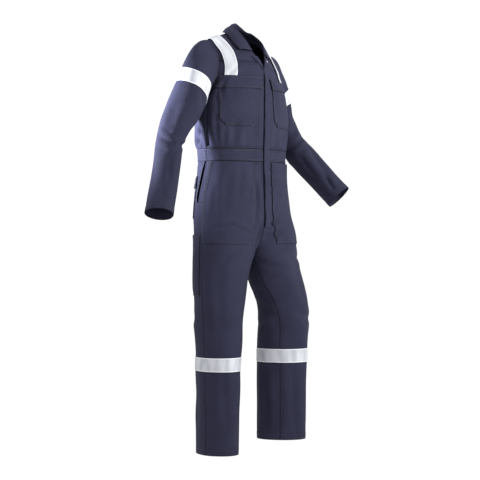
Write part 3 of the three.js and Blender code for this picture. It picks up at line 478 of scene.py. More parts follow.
def makePiece(name, node, body, spanU, spanV, finish, lift=0.0, wall=1.5, welts=None,
              shape=None, tube=False, step=gridStep, gap=0.15, seams=()):
    welts = welts or {}
    low, high = spanU
    low = low if callable(low) else (lambda v, x=low: 0 * v + x)
    high = high if callable(high) else (lambda v, x=high: 0 * v + x)
    vAll = np.linspace(spanV[0], spanV[1], 240)
    middle = body["at"]((low(vAll) + high(vAll)) / 2, vAll)
    up = arcs(middle, 0)
    v = np.interp(ticks(up[-1], step) * (up[-1] - 2 * gap) + gap, up, vAll)
    share = np.linspace(0, 1, 160)
    uAll = low(v)[:, None] + (high(v) - low(v))[:, None] * share
    across = arcs(body["at"](uAll, v[:, None]), 1)
    at = ticks(float(np.median(across[:, -1])), step, not tube, not tube)
    inset = 0 if tube else gap
    u = np.stack([np.interp(at * (row[-1] - 2 * inset) + inset, row, uRow) for row, uRow in zip(across, uAll)])
    v = np.broadcast_to(v[:, None], u.shape)
    flat = body["at"](u, v)
    distU, distV = arcs(flat, 1), arcs(flat, 0)
    edge = {"u0": distU, "u1": distU[:, -1:] - distU, "v0": distV, "v1": distV[-1:] - distV}
    h = lift + body["relief"](u, v, flat)
    for key, width in welts.items():
        h = h + welt(edge[key], width)
    for key in seams:
        h = h + seamDip(edge[key])
    if shape:
        h = h + shape(edge, u, v)
    # Painted shade: a mask that darkens the cloth colour in seam furrows, along welt edges and stitch rows, and under
    # the edges of pieces laid over others
    dark = body["dark"](u, v, flat) if "dark" in body else np.zeros(u.shape)
    for key, width in welts.items():
        dark = np.maximum(dark, np.maximum(0.75 * bump(edge[key], 1.6), 0.5 * bump(edge[key] - width + 1.2, 1.5)))
    for key in seams:
        dark = np.maximum(dark, np.maximum(0.85 * bump(edge[key], 2.6), 0.35 * bump(edge[key] - 8.5, 1.4)))
    inner = flat + normals(flat, body["sign"], tube) * h[..., None]
    outer = inner + normals(inner, body["sign"], tube) * wall
    for points in (inner, outer):
        if body.get("keepSide"):
            points[..., 0] = body["keepSide"] * np.maximum(0.15, points[..., 0] * body["keepSide"])
        if tube:
            points[:, -1] = points[:, 0]
    made = makeMesh(name, outer, inner, stack(distU, distV), body["sign"], tube)
    # the painted-shade mask is stored as the point attribute seam, which the cloth material reads
    values = np.tile((dark[:, :-1] if tube else dark).ravel(), 2).astype(np.float32)
    made.data.attributes.new("seam", "FLOAT", "POINT").data.foreach_set("value", values)
    made.data.materials.append(finish["material"])
    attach(made, "root")
    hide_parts(node)
    size = (float(distU[:, -1].max()) * mm, float(distV[-1].max()) * mm)
    min(areaOf(flat) * mm * mm, size[0] * size[1])
    pieces[name] = {"object": made, "outer": outer, "normal": normals(outer, body["sign"], tube), "edge": edge,
                    "flat": size}
    return made


def uAtDistance(body, v, distance, fromEnd=False):  # where a line of the body at v is that many mm along
    v = np.atleast_1d(np.asarray(v, float))
    distance = np.broadcast_to(distance, v.shape)
    us = np.linspace(1, 0, 240) if fromEnd else np.linspace(0, 1, 240)
    along = arcs(body["at"](us[None, :], v[:, None]), 1)
    return np.array([np.interp(d, row, us) for d, row in zip(distance, along)])


def centreEdge(body, distance):
    return lambda v: uAtDistance(body, v, distance(v))


def armholeEdge(body, distance):
    return lambda v: uAtDistance(body, v, distance(v), True)


# Materials
# seam is the near-black of painted shade, mixed into the cloth colour along seam furrows and under piece edges
clothLook = {"lit": (0.0235, 0.0238, 0.0470, 1), "deep": (0.0180, 0.0182, 0.0370, 1), "roughness": 0.9,
             "sheen": 0.03, "seam": (0.003, 0.003, 0.006, 1),
             "twillPitch": 0.0011, "twillDepth": 0.00022, "wrinkleDepth": 0.0009}
tapeLook = {"light": (0.50, 0.51, 0.55, 1), "shade": (0.34, 0.35, 0.39, 1), "border": (0.68, 0.69, 0.71, 1),
            "roughness": 0.5, "gloss": 0.3}
threadLook = {"cloth": (0.045, 0.046, 0.08, 1), "tape": (0.6, 0.61, 0.64, 1)}


def newMaterial(name):
    material = bpy.data.materials.new(name)
    material.use_nodes = True
    nodes, links = material.node_tree.nodes, material.node_tree.links
    nodes.clear()
    out = nodes.new("ShaderNodeOutputMaterial")
    shader = nodes.new("ShaderNodeBsdfPrincipled")
    links.new(shader.outputs["BSDF"], out.inputs["Surface"])
    return material, nodes, links, shader


def noise(nodes, links, coords, scale, detail=3.0, rough=0.55):
    node = nodes.new("ShaderNodeTexNoise")
    node.inputs["Scale"].default_value = scale
    node.inputs["Detail"].default_value = detail
    node.inputs["Roughness"].default_value = rough
    links.new(coords, node.inputs["Vector"])
    return node.outputs["Fac"]


def ramp(nodes, links, value, stops):
    node = nodes.new("ShaderNodeValToRGB")
    links.new(value, node.inputs["Fac"])
    elements = node.color_ramp.elements
    while len(elements) < len(stops):
        elements.new(0.5)
    for element, (place, colour) in zip(elements, stops):
        element.position, element.color = place, colour
    return node.outputs["Color"]


def bumpNode(nodes, links, height, distance, before=None, strength=1.0):
    node = nodes.new("ShaderNodeBump")
    node.inputs["Distance"].default_value = distance
    node.inputs["Strength"].default_value = strength
    links.new(height, node.inputs["Height"])
    if before is not None:
        links.new(before, node.inputs["Normal"])
    return node.outputs["Normal"]


def clothMaterial():
    material, nodes, links, shader = newMaterial("navyTwill")
    coords = nodes.new("ShaderNodeTexCoord")
    uv = nodes.new("ShaderNodeMapping")
    uv.inputs["Rotation"].default_value = (0, 0, math.radians(-27))
    links.new(coords.outputs["UV"], uv.inputs["Vector"])
    twill = nodes.new("ShaderNodeTexWave")
    twill.bands_direction = "X"
    twill.inputs["Scale"].default_value = 0.314 / clothLook["twillPitch"]
    twill.inputs["Distortion"].default_value = 0.8
    links.new(uv.outputs["Vector"], twill.inputs["Vector"])
    soft = noise(nodes, links, coords.outputs["Object"], 17, 4)
    fine = noise(nodes, links, coords.outputs["Object"], 420, 2)
    mix = nodes.new("ShaderNodeMath")
    mix.operation = "MULTIPLY_ADD"
    mix.inputs[1].default_value = 0.35
    links.new(fine, mix.inputs[0])
    links.new(soft, mix.inputs[2])
    colour = ramp(nodes, links, mix.outputs[0], [(0.35, clothLook["deep"]), (0.9, clothLook["lit"])])
    # Painted shade: the seam attribute darkens the base colour towards the near-black seam colour along seams and
    # piece edges
    seam = nodes.new("ShaderNodeAttribute")
    seam.attribute_name = "seam"
    paintShade = nodes.new("ShaderNodeMix")
    paintShade.data_type = "RGBA"
    links.new(seam.outputs["Fac"], paintShade.inputs["Factor"])
    links.new(colour, paintShade.inputs[6])
    paintShade.inputs[7].default_value = clothLook["seam"]
    links.new(paintShade.outputs[2], shader.inputs["Base Color"])
    wrinkles = noise(nodes, links, coords.outputs["Object"], 26, 3, 0.5)
    first = bumpNode(nodes, links, wrinkles, clothLook["wrinkleDepth"])
    links.new(bumpNode(nodes, links, twill.outputs["Fac"], clothLook["twillDepth"], first), shader.inputs["Normal"])
    shader.inputs["Roughness"].default_value = clothLook["roughness"]
    shader.inputs["Sheen Weight"].default_value = clothLook["sheen"]
    shader.inputs["Sheen Roughness"].default_value = 0.45
    shader.inputs["Sheen Tint"].default_value = (0.55, 0.6, 0.95, 1)
    shader.inputs["Specular IOR Level"].default_value = 0.12
    return material


def tapeMaterial():
    material, nodes, links, shader = newMaterial("silverTape")
    coords = nodes.new("ShaderNodeTexCoord")
    split = nodes.new("ShaderNodeSeparateXYZ")
    links.new(coords.outputs["UV"], split.inputs[0])
    across = nodes.new("ShaderNodeAttribute")
    across.attribute_name = "across"
    border = ramp(nodes, links, across.outputs["Fac"],
                  [(0.0, (1, 1, 1, 1)), (0.045, (1, 1, 1, 1)), (0.07, (0, 0, 0, 1)),
                                                      (0.93, (0, 0, 0, 1)), (0.955, (1, 1, 1, 1)),
                                                      (1.0, (1, 1, 1, 1))])
    tilt = nodes.new("ShaderNodeMapping")
    tilt.inputs["Rotation"].default_value = (0, 0, math.radians(38))
    tilt.inputs["Scale"].default_value = (1.0, 0.22, 1.0)
    links.new(coords.outputs["UV"], tilt.inputs["Vector"])
    folds = noise(nodes, links, tilt.outputs["Vector"], 34, 2, 0.45)
    sheen = ramp(nodes, links, folds, [(0.36, tapeLook["shade"]), (0.62, tapeLook["light"])])
    mix = nodes.new("ShaderNodeMix")
    mix.data_type = "RGBA"
    links.new(border, mix.inputs["Factor"])
    links.new(sheen, mix.inputs[6])
    mix.inputs[7].default_value = tapeLook["border"]
    links.new(mix.outputs[2], shader.inputs["Base Color"])
    beads = noise(nodes, links, coords.outputs["Object"], 900, 1)
    first = bumpNode(nodes, links, folds, 0.0012)
    links.new(bumpNode(nodes, links, beads, 0.00012, first), shader.inputs["Normal"])
    shader.inputs["Roughness"].default_value = tapeLook["roughness"]
    shader.inputs["Specular IOR Level"].default_value = tapeLook["gloss"]
    return material


def threadMaterial(name, colour):
    material, nodes, links, shader = newMaterial(name)
    coords = nodes.new("ShaderNodeTexCoord")
    twist = noise(nodes, links, coords.outputs["Object"], 1500, 1)
    darker = tuple(x * 0.7 for x in colour[:3]) + (1,)
    links.new(ramp(nodes, links, twist, [(0.3, darker), (0.7, colour)]), shader.inputs["Base Color"])
    shader.inputs["Roughness"].default_value = 0.6
    return material


def studMaterial():
    material, nodes, links, shader = newMaterial("pressStud")
    coords = nodes.new("ShaderNodeTexCoord")
    brushed = noise(nodes, links, coords.outputs["Object"], 700, 2)
    links.new(ramp(nodes, links, brushed, [(0.3, (0.2, 0.21, 0.24, 1)), (0.7, (0.36, 0.37, 0.42, 1))]),
              shader.inputs["Base Color"])
    shader.inputs["Metallic"].default_value = 0.9
    shader.inputs["Roughness"].default_value = 0.35
    return material


navy = {"material": clothMaterial(), "slot": "cloth"}
silver = {"material": tapeMaterial(), "slot": "tape"}
navyThread = {"material": threadMaterial("navyThread", threadLook["cloth"]), "slot": "cloth"}
tapeThread = {"material": threadMaterial("tapeThread", threadLook["tape"]), "slot": "tape"}
print("materials ready")

# Bodies: the surface that a group of pieces shares, and the folds in it
bodiceFolds = {
    -1: [(96, -325, 104, -412, 2.6, 13, 0.6), (58, -350, 62, -414, 2.2, 11, 0.5),
         (135, -345, 142, -412, 2.4, 11, 0.6),
         (170, -300, 166, -408, 2.8, 10, 0.5), (26, -300, 40, -405, 2.0, 12, 0.5),
         (176, -175, 150, -245, 2.6, 11, 0.5),
         (182, -228, 158, -262, 2.0, 8, 0.5), (120, -120, 168, -150, 1.8, 9, 0.4)],
    1: [(60, -330, 52, -412, 2.6, 12, 0.6), (92, -340, 90, -412, 2.2, 11, 0.5),
        (130, -335, 122, -410, 2.6, 11, 0.6),
        (40, -180, 52, -300, 2.2, 13, 0.5), (168, -310, 160, -405, 2.8, 11, 0.5),
        (176, -180, 152, -240, 2.6, 11, 0.5),
        (180, -232, 160, -268, 1.9, 8, 0.5)],
}
hipFolds = {
    -1: [(33, -540, 27, -625, 6.5, 10, 0.7), (27, -620, 40, -690, 5, 11, 0.6), (10, -705, 48, -800, 3.6, 11, 0.5),
         (214, -703, 148, -691, 2.6, 7, 0.7), (150, -694, 72, -722, 3.0, 7, 0.7),
         (196, -724, 110, -716, 2.0, 6, 0.6),
         (150, -520, 168, -650, 2.6, 24, 0.3), (95, -480, 104, -600, 1.8, 13, 0.5),
         (205, -560, 214, -680, 2.2, 14, 0.4),
         (70, -770, 96, -1080, 4, 24, 0.5), (150, -782, 205, -830, 2.4, 13, 0.5),
         (215, -850, 200, -1060, 3, 20, 0.5),
         (28, -860, 40, -1010, 2.6, 15, 0.5), (92, -1250, 108, -1490, 2.8, 20, 0.5),
         (190, -1230, 182, -1420, 2.6, 17, 0.5),
         (440, -1016, 520, -1000, 6, 24, 0.4), (350, -1030, 430, -1046, 3, 14, 0.5),
         (405, -790, 470, -850, 3.4, 15, 0.5),
         (470, -740, 535, -800, 4.2, 14, 0.5), (330, -1240, 345, -1440, 2.8, 20, 0.5),
         (450, -1220, 440, -1400, 3, 19, 0.5),
         (420, -690, 500, -705, 3.2, 12, 0.5)],
    1: [(22, -494, 60, -481, 2.2, 6, 0.7), (42, -516, 84, -500, 2.0, 6, 0.7), (18, -548, 66, -531, 1.9, 7, 0.6),
        (46, -592, 92, -573, 2.0, 8, 0.6), (34, -640, 62, -600, 2.2, 9, 0.5), (8, -712, 66, -672, 4.4, 9, 0.7),
        (14, -738, 96, -724, 4.4, 12, 0.5), (24, -798, 140, -786, 3.4, 12, 0.6),
        (16, -830, 112, -858, 2.8, 12, 0.5),
        (190, -800, 235, -835, 2.6, 12, 0.5), (150, -830, 118, -960, 3.2, 20, 0.5),
        (58, -1006, 176, -1044, 2.8, 14, 0.6),
        (90, -1050, 150, -1066, 2.0, 10, 0.5), (44, -1230, 56, -1440, 3.0, 15, 0.5),
        (150, -1210, 158, -1430, 2.6, 20, 0.5),
        (452, -1004, 530, -994, 13, 25, 0.35), (440, -1066, 500, -1048, 4, 13, 0.5),
        (470, -950, 532, -930, 4, 13, 0.5),
        (505, -1240, 512, -1430, 4, 13, 0.5), (400, -800, 470, -845, 3.4, 15, 0.5),
        (330, -1040, 420, -1052, 3, 14, 0.5),
        (360, -1220, 372, -1430, 2.8, 20, 0.5)],
}
sleeveFolds = {
    -1: [(112, 331, 190, 301, 4.5, 9, 0.5), (28, 316, 88, 327, 4, 10, 0.5), (236, 318, 300, 300, 3, 11, 0.4),
         (136, 357, 188, 340, 2.4, 8, 0.6), (118, 296, 168, 282, 1.9, 8, 0.5), (152, 190, 140, 286, 2.6, 17, 0.4),
         (120, 375, 112, 486, 3.2, 15, 0.5), (196, 380, 180, 530, 2.2, 19, 0.4), (60, 350, 84, 440, 2.6, 12, 0.5),
         (96, 120, 60, 170, 3.2, 12, 0.5), (262, 130, 290, 210, 3, 14, 0.5), (150, 520, 100, 545, 1.6, 9, 0.5)],
    1: [(20, 290, 70, 299, 6, 10, 0.5), (70, 299, 118, 284, 4.5, 10, 0.5), (258, 306, 318, 294, 3.5, 11, 0.4),
        (58, 330, 112, 318, 2.2, 9, 0.5), (60, 262, 92, 240, 2.8, 12, 0.5), (100, 330, 74, 462, 3.6, 15, 0.5),
        (62, 462, 50, 526, 3.8, 8, 0.6), (150, 340, 142, 480, 2.2, 19, 0.4), (36, 340, 30, 440, 2.8, 13, 0.5),
        (92, 118, 62, 168, 3, 12, 0.5), (260, 128, 288, 206, 3, 14, 0.5), (240, 350, 250, 470, 2.6, 15, 0.5)],
}
backFolds = [(-230, -342, -218, -366, 12, 10, 0.5), (-210, -384, -196, -402, 11, 10, 0.5),
             (-160, -330, -135, -398, 5, 15, 0.5),
             (-98, -345, -84, -402, 4.5, 14, 0.5), (-30, -338, -22, -400, 4, 15, 0.5),
             (42, -346, 50, -402, 4.5, 14, 0.5),
             (108, -336, 92, -400, 5, 15, 0.5), (172, -350, 158, -400, 5, 14, 0.5),
             (226, -344, 210, -380, 6, 13, 0.4),
             (-216, -240, -200, -318, 3.4, 11, 0.5), (-150, -170, -110, -260, 2.8, 15, 0.5),
             (212, -236, 196, -312, 3.2, 12, 0.5),
             (120, -160, 138, -262, 2.8, 16, 0.5), (-40, -190, -60, -300, 2.2, 18, 0.4),
             (60, -200, 48, -290, 2, 18, 0.4)]
pleat = {"edge": 190, "depth": 10, "top": -150, "groove": 226}  # the side of each front turns in along a pressed edge
gapLine = {"centre": 2.6, "wave": 1.1, "depth": 7}  # the dark opening beside the fly


def fade(distance, reach=26):
    return ease(distance / reach)


def gapRelief(side, a, b):  # the left front falls away under the strip's free edge
    if side < 0:
        return 0.9 * bump(a - 5, 4) - 0.9 * bump(a, 2.5)
    return -gapLine["depth"] * (1 - ease((a - 1.5) / 5)) * ease((-135 - b) / 20)


def frontBody(side):
    def relief(u, v, p):
        a, b = u * 235, p[..., 2]
        held = fade((1 - u) * 235) * fade((6 - v) * 36) * fade(b + 418, 10) * fade(u * 235 + 8)
        ripple = 1.0 * np.sin(a * 2 * np.pi / 16 + 0.8 * np.sin(b / 17)) * bump(b + 422, 30) * ease((a - 62) / 40)
        low = ease((pleat["top"] - b) / 60) * fade(b + 418, 14)
        turned = 1.5 * bump(a - pleat["edge"], 5) - pleat["depth"] * np.clip((a - pleat["edge"]) / 32, 0, 1)
        turned = turned * ease((236 - a) / 10) - 2.5 * bump(a - pleat["groove"], 3.4)
        return (held * (cloth(a, b, 12 + side, 1.3) + foldRelief(bodiceFolds[side], a, b) + ripple) + low * turned
                + gapRelief(side, a, b))
    return {"at": lambda u, v: settle(ribPoint(frontRibs(v), u), side), "sign": side, "relief": relief}


def backRelief(u, v, p):
    a, b = u * 250, p[..., 2]
    held = fade((1 - np.abs(u)) * 250) * fade((5 - v) * 36) * fade(b + 418, 8)
    gathers = 1.5 * np.sin(a * 2 * np.pi / 23 + 1.2 * np.sin(b / 31)) * bump(b + 415, 42)
    return held * (cloth(a, b, 31, 1.6) + foldRelief(backFolds, a, b) + gathers)


backBody = {"at": lambda u, v: settle(ribPoint(backRib(v), np.abs(u)), np.where(u < 0, -1, 1)), "sign": -1,
            "relief": backRelief}


def yokeRelief(p, u, at):
    return fade((1 - u) * 120) * fade(u * 120) * cloth(p * 260, u * 130, 41, 0.8) * fade((1 - np.abs(p)) * 150)


yokeBody = {"at": lambda p, u: settle(yokePoint(1 - np.abs(p), u), np.where(p + 0 * u < 0, -1, 1)), "sign": -1,
            "relief": yokeRelief}


def trouserBody(side):
    def relief(s, z, p):
        a, b = s * 560, p[..., 2]
        held = fade(s * 560, 22) * fade((1 - s) * 560, 22) * fade(-455 - b, 18)
        elastic = 1.5 * np.sin(a * 2 * np.pi / 21 + np.sin(b / 19)) * bump(b + 478, 30) * ease((s - 0.56) / 0.08)
        edge = gapRelief(side, a, b) * ease((b + 712) / 20)
        return held * (cloth(a, b, 22 + side, 1.8) + foldRelief(hipFolds[side], a, b) + elastic) + edge
    return {"at": lambda s, z: hipPoint(s, z, side), "sign": side, "relief": relief, "keepSide": side}


def waistRelief(side):
    def relief(s, z, p):
        a = s * 560
        return (0.45 * np.sin(a * 2 * np.pi / 19) * ease((s - 0.16) / 0.2) - 0.5 * bump(z + 440, 2.2)
                + gapRelief(side, a, p[..., 2]))
    return relief


def sleeveBody(side):
    def relief(t, d, p):
        a = t * 350
        held = fade(t * 350) * fade((1 - t) * 350) * fade(d, 20)
        return held * (cloth(a, d + 0 * t, 51 + side, 1.5) + foldRelief(sleeveFolds[side], a, d))
    return {"at": lambda t, d: sleevePoint(t, d, side), "sign": -side, "relief": relief}


still = {"relief": lambda u, v, p: 0 * u}

# Bodice: fronts, back and yoke
overCloth = 1.8
overPocket = 3.6


def makeBodice():
    for side, word in sideNames.items():
        makePiece("front" + word.title(), "front_" + word, frontBody(side), (0, 1), (0, 6), navy,
                  seams=["v0", "v1"])
    makePiece("back", "back", backBody, (-1, 1), (0, 5), navy,
              seams=["v0", "v1", "u0", "u1"])
    makePiece("yoke", "yoke", yokeBody, (-0.999, 0.999), (0, 1), navy,
              welts={"u0": 8, "u1": 8, "v1": 9})


# Trousers: each leg has a front and a back panel, a narrow side piece behind the pocket mouth, and the waistband
def makeTrousers():
    for side, word in sideNames.items():
        body, hem, title = trouserBody(side), hipSizes["hem"][side], word.title()
        makePiece("trouserFront" + title, "trouser_front_" + word, body, (0, 0.5), (hem, -462), navy,
                  welts={"v0": 22}, seams=["v1", "u0"])
        seat = lambda z: np.where(z < hipSizes["slitBottom"], 0.5, slitLine(z)["back"])
        makePiece("trouserBack" + title, "trouser_back_" + word, body, (seat, 1), (hem, -462), navy,
                  welts={"v0": 22, "u0": 9}, seams=["v1", "u1"])
        makePiece("hipSide" + title, "hip_side_" + word, body, (0.5, lambda z: slitLine(z)["front"]),
                  (-611.5, -462), navy, welts={"u1": 8})
        band = {**body, "relief": waistRelief(side)}
        makePiece("waistbandFront" + title, "waistband_front_" + word, band, (0, 0.5), (-462, -418), navy,
                  welts={"v0": 6, "v1": 6})
    ring = {"at": lambda p, z: np.where((p < 0)[..., None], hipPoint(1 - np.abs(p) / 2, z, -1),
                                        hipPoint(1 - np.abs(p) / 2, z, 1)), "sign": -1,
            "relief": lambda p, z, at: 1.1 + 1.1 * np.cos((p + 0.01 * np.sin(z / 9)) * 22 * 2 * np.pi / 2 * 2)}
    makePiece("waistbandBack", "waistband_back", ring, (-1, 1), (-462, -418), navy,
              step=3.2)


def makeSleeves():
    for side, word in sideNames.items():
        makePiece("sleeve" + word.title(), "sleeve_" + word, sleeveBody(side), (0, 1),
                  (0, sleeveSizes["cuff"][side]), navy, tube=True,
                  welts={"v1": 20}, seams=["v0"])


def makeCollar():
    body = {"at": collarPoint, "sign": 1, **still}
    makePiece("collar", "collar", body, (-0.9, 0.9), (0, 1), navy, step=4,
              welts={"u0": 6, "u1": 6, "v1": 6})


lapelSizes = {"break": 5.2, "notch": 6.6, "width": smooth(["v", "width"],
                                                          [(5.2, 1.5), (5.8, 12), (6.3, 21), (6.6, 25)])}


def makeLapels():
    for side, word in sideNames.items():
        body = frontBody(side)
        edge = centreEdge(body, lambda v: lapelSizes["width"](v)["width"])
        makePiece("lapel" + word.title(), "lapel_" + word, body, (0, edge),
                  (lapelSizes["break"], lapelSizes["notch"]), navy,
                  lift=overCloth + 0.4, step=3,
                  shape=lambda edge, u, v: 1.2 * np.sin(np.pi * np.minimum(1, edge["u0"] / 25 + 0.3)))


# The strip that hides the zip, from the lapel's break to the crotch seam
flySizes = {"width": 28, "top": -140, "bottom": -700, "lean": 1.6}
centreRows = np.linspace(0, 6, 600)
centreHeights = frontRibs(centreRows)["zi"]


def makeFly():
    front, lower = frontBody(1), trouserBody(1)

    def row(z):
        return np.interp(z, centreHeights, centreRows)

    def at(a, z):
        a, z = np.broadcast_arrays(a, z)
        edge = (gapLine["centre"] + gapLine["wave"] * (np.sin(z / 31) + 0.5 * np.sin(z / 12 + 1))) / flySizes["width"]
        a = edge + a * (1 - edge)
        high = front["at"](a * flyU(front, row(z), z), row(z))
        low = lower["at"](a * flyU(lower, np.minimum(z, -418), z), np.minimum(z, -418))
        return np.where((z > -418)[..., None], high, low)

    def flyU(body, v, z):
        width = np.minimum(flySizes["width"], 8 + (flySizes["top"] - z) * 0.5)
        flatV = v[:, 0] if v.ndim == 2 else v
        flatW = width[:, 0] if width.ndim == 2 else width
        found = uAtDistance(body, flatV, np.maximum(0.5, flatW))
        return found[:, None] if v.ndim == 2 else found

    def relief(a, z, p):
        free = 1 - ease(a * 1.6)
        wave = 0.9 + 0.9 * np.sin(z / 23) + 0.7 * np.sin(z / 9.5 + 1)
        return free * wave

    body = {"at": at, "sign": 1, "relief": relief}
    makePiece("flyStrip", "fly_strip", body, (0, 1), (flySizes["bottom"], flySizes["top"]), navy,
              lift=overCloth + 0.2, step=3.5, welts={"u0": 5})


# Chest pockets and their flaps
chestPocketSizes = {"topRow": 4.2, "bottomRow": 1.35, "corner": 24, "cornerRows": 0.3,
                    -1: {"inner": 26, "outer": 180, "slant": 0}, 1: {"inner": 42, "outer": 190, "slant": 16}}
chestFlapSizes = {"topRow": 4.5, "bottomRow": 3.3, "outer": 12, "outerSlant": 9,
                  -1: {"inner": 7, "innerSlant": 2}, 1: {"inner": 30, "innerSlant": 12}}


def makeChestPockets():
    for side, word in sideNames.items():
        body, sizes, flap = frontBody(side), chestPocketSizes, chestFlapSizes
        top, bottom, own = sizes["topRow"], sizes["bottomRow"], sizes[side]
        corner = lambda v: sizes["corner"] * np.clip(1 - (v - bottom) / sizes["cornerRows"], 0, 1)
        lean = lambda v: own["slant"] * np.clip((top - v) / (top - bottom), 0, 1)
        makePiece("chestPocket" + word.title(), "chest_pocket_" + word, body,
                  (centreEdge(body, lambda v: own["inner"] + lean(v) + corner(v)),
                   centreEdge(body, lambda v: own["outer"] + lean(v) - corner(v))), (bottom, top), navy,
                  lift=overCloth + 0.7, welts={"u0": 7, "u1": 7, "v0": 7},
                  shape=lambda edge, u, v: 1.6 * ease(np.minimum(edge["u0"],
                                                                 edge["u1"]) / 45) * ease(edge["v0"] / 50))
        height = lambda v: (v - flap["bottomRow"]) / (flap["topRow"] - flap["bottomRow"])
        makePiece("chestFlap" + word.title(), "chest_flap_" + word, body,
                  (centreEdge(body, lambda v: flap[side]["inner"] + flap[side]["innerSlant"] * (1 - height(v))),
                   armholeEdge(body, lambda v: flap["outer"] + flap["outerSlant"] * (1 - height(v)))),
                  (flap["bottomRow"], flap["topRow"]), navy,
                  lift=overPocket + 1.6, step=3,
                  welts={"u0": 7, "u1": 7, "v0": 7}, shape=flapShape)


def flapShape(edge, u, v):  # the closed stud behind the flap shows as a ring
    away = np.hypot(edge["u1"] - 30, edge["v0"] - 15)
    return flapHang(edge, u, v) + 0.7 * bump(away - 5, 1.3)


def flapHang(edge, u, v):  # a flap stands further out at its free edge than along its seam
    long = edge["v0"][-1:].max()
    t = edge["v0"] / long
    return 1.6 * (1 - t) - 1.7 * ease((t - 0.7) / 0.3) + 0.5 * np.sin(edge["u0"] / 19) * (1 - t)


# Hip pockets with a slanted mouth, back pockets with flaps, and the rule pocket
hipPocketSizes = {"bottom": -762, "top": -466,
                  "inner": smooth(["z", "d"], [(-762, 70), (-700, 50), (-640, 42), (-466, 40)]),
                  "mouth": smooth(["z", "s"], [(-762, 0.497), (-610, 0.497), (-540, 0.48), (-466, 0.455)])}
seatPocketSizes = {"from": 0.64, "to": 0.9, "top": -515, "bottom": -670, "flapDrop": 45}
rulePocketSizes = {"from": 0.52, "to": 0.665, "top": -729, "bottom": -950}


def makeTrouserPockets():
    for side, word in sideNames.items():
        body, hip, title = trouserBody(side), hipPocketSizes, word.title()
        heights = np.array([-762.0, -690, -640, -560, -466])
        line = smooth(["z", "s"], list(zip(heights, uAtDistance(body, heights, hip["inner"](heights)["d"]))))
        inner = lambda z: line(z)["s"]
        makePiece("hipPocket" + title, "hip_pocket_" + word, body, (inner, lambda z: hip["mouth"](z)["s"]),
                  (hip["bottom"], hip["top"]), navy,
                  lift=overCloth + 1.2, welts={"u0": 8, "u1": 8, "v0": 8},
                  shape=lambda edge, u, v: (2.2 * ease(np.minimum(edge["u0"],
                                                                  edge["u1"]) / 60) * ease(edge["v0"] / 50)
                                            + 2.4 * bump(edge["u1"], 9) * ease((v + 640) / 40)))
        seat = seatPocketSizes
        makePiece("seatPocket" + title, "seat_pocket_" + word, body, (seat["from"], seat["to"]),
                  (seat["bottom"], seat["top"] - 12), navy,
                  lift=overCloth, welts={"u0": 7, "u1": 7, "v0": 7})
        makePiece("seatFlap" + title, "seat_flap_" + word, body, (seat["from"] - 0.012, seat["to"] + 0.012),
                  (seat["top"] - seat["flapDrop"], seat["top"]), navy,
                  lift=overPocket + 0.6, step=4,
                  welts={"u0": 7, "u1": 7, "v0": 7}, shape=flapHang)
    rule = rulePocketSizes
    makePiece("rulePocket", "rule_pocket", trouserBody(-1), (rule["from"], rule["to"]),
              (rule["bottom"], rule["top"]),
              navy, lift=overCloth,
              welts={"u0": 6, "u1": 6, "v0": 6, "v1": 12},
              shape=lambda edge, u, v: 2.2 * ease(np.minimum(edge["u0"], edge["u1"]) / 30) * ease(edge["v0"] / 30))


# Reflective tape: over the shoulders, round the sleeves and round the lower legs
tapeSizes = {"width": 50, "wall": 1.0, "lift": 2.4, "legTop": {-1: -1173, 1: -1148},
             "shoulderWidth": 45, "fromArmhole": smooth(["v", -1, 1], [
                 (4.5, 27, 36), (5.6, 21, 33), (6.6, 15, 31), (8, 13, 30), (10, 13, 27), (12, 15, 22)])}


def paintAcross(name, key):
    piece = pieces[name]
    edge, other = piece["edge"][key + "0"], piece["edge"][key + "1"]
    share = edge / np.maximum(1e-6, edge + other)
    mesh = piece["object"].data
    columns = share.shape[1] - (1 if len(mesh.vertices) == 2 * share.shape[0] * (share.shape[1] - 1) else 0)
    values = np.tile(share[:, :columns].ravel(), 2).astype(np.float32)
    mesh.attributes.new("across", "FLOAT", "POINT").data.foreach_set("value", values)


def makeTapes():
    for side, word in sideNames.items():
        title = word.title()
        body = frontBody(side)
        edge = lambda extra: armholeEdge(body, lambda v: tapeSizes["fromArmhole"](v)[side] + extra)
        over = {**body, "relief": lambda u, v, p: np.where(v < 6, body["relief"](u, np.minimum(v, 6), p), 0)}
        makePiece("shoulderTape" + title, "shoulder_tape_" + word, over,
                  (edge(tapeSizes["shoulderWidth"]), edge(0)),
                  (4.53, 11.95), silver,
                  lift=tapeSizes["lift"] + (4 if side > 0 else 0.8),
                  wall=tapeSizes["wall"], step=4)
        paintAcross("shoulderTape" + title, "u")
        makePiece("sleeveTape" + title, "sleeve_tape_" + word, sleeveTapeBody(side), (0, 1), (0, 1), silver,
                  lift=tapeSizes["lift"], wall=tapeSizes["wall"],
                  tube=True,
                  step=4)
        paintAcross("sleeveTape" + title, "v")
        top = tapeSizes["legTop"][side]
        makePiece("legTape" + title, "leg_tape_" + word, {**trouserBody(side), "keepSide": 0}, (0, 1),
                  (top - tapeSizes["width"], top), silver,
                  lift=tapeSizes["lift"],
                  wall=tapeSizes["wall"], tube=True, step=4)
        paintAcross("legTape" + title, "v")


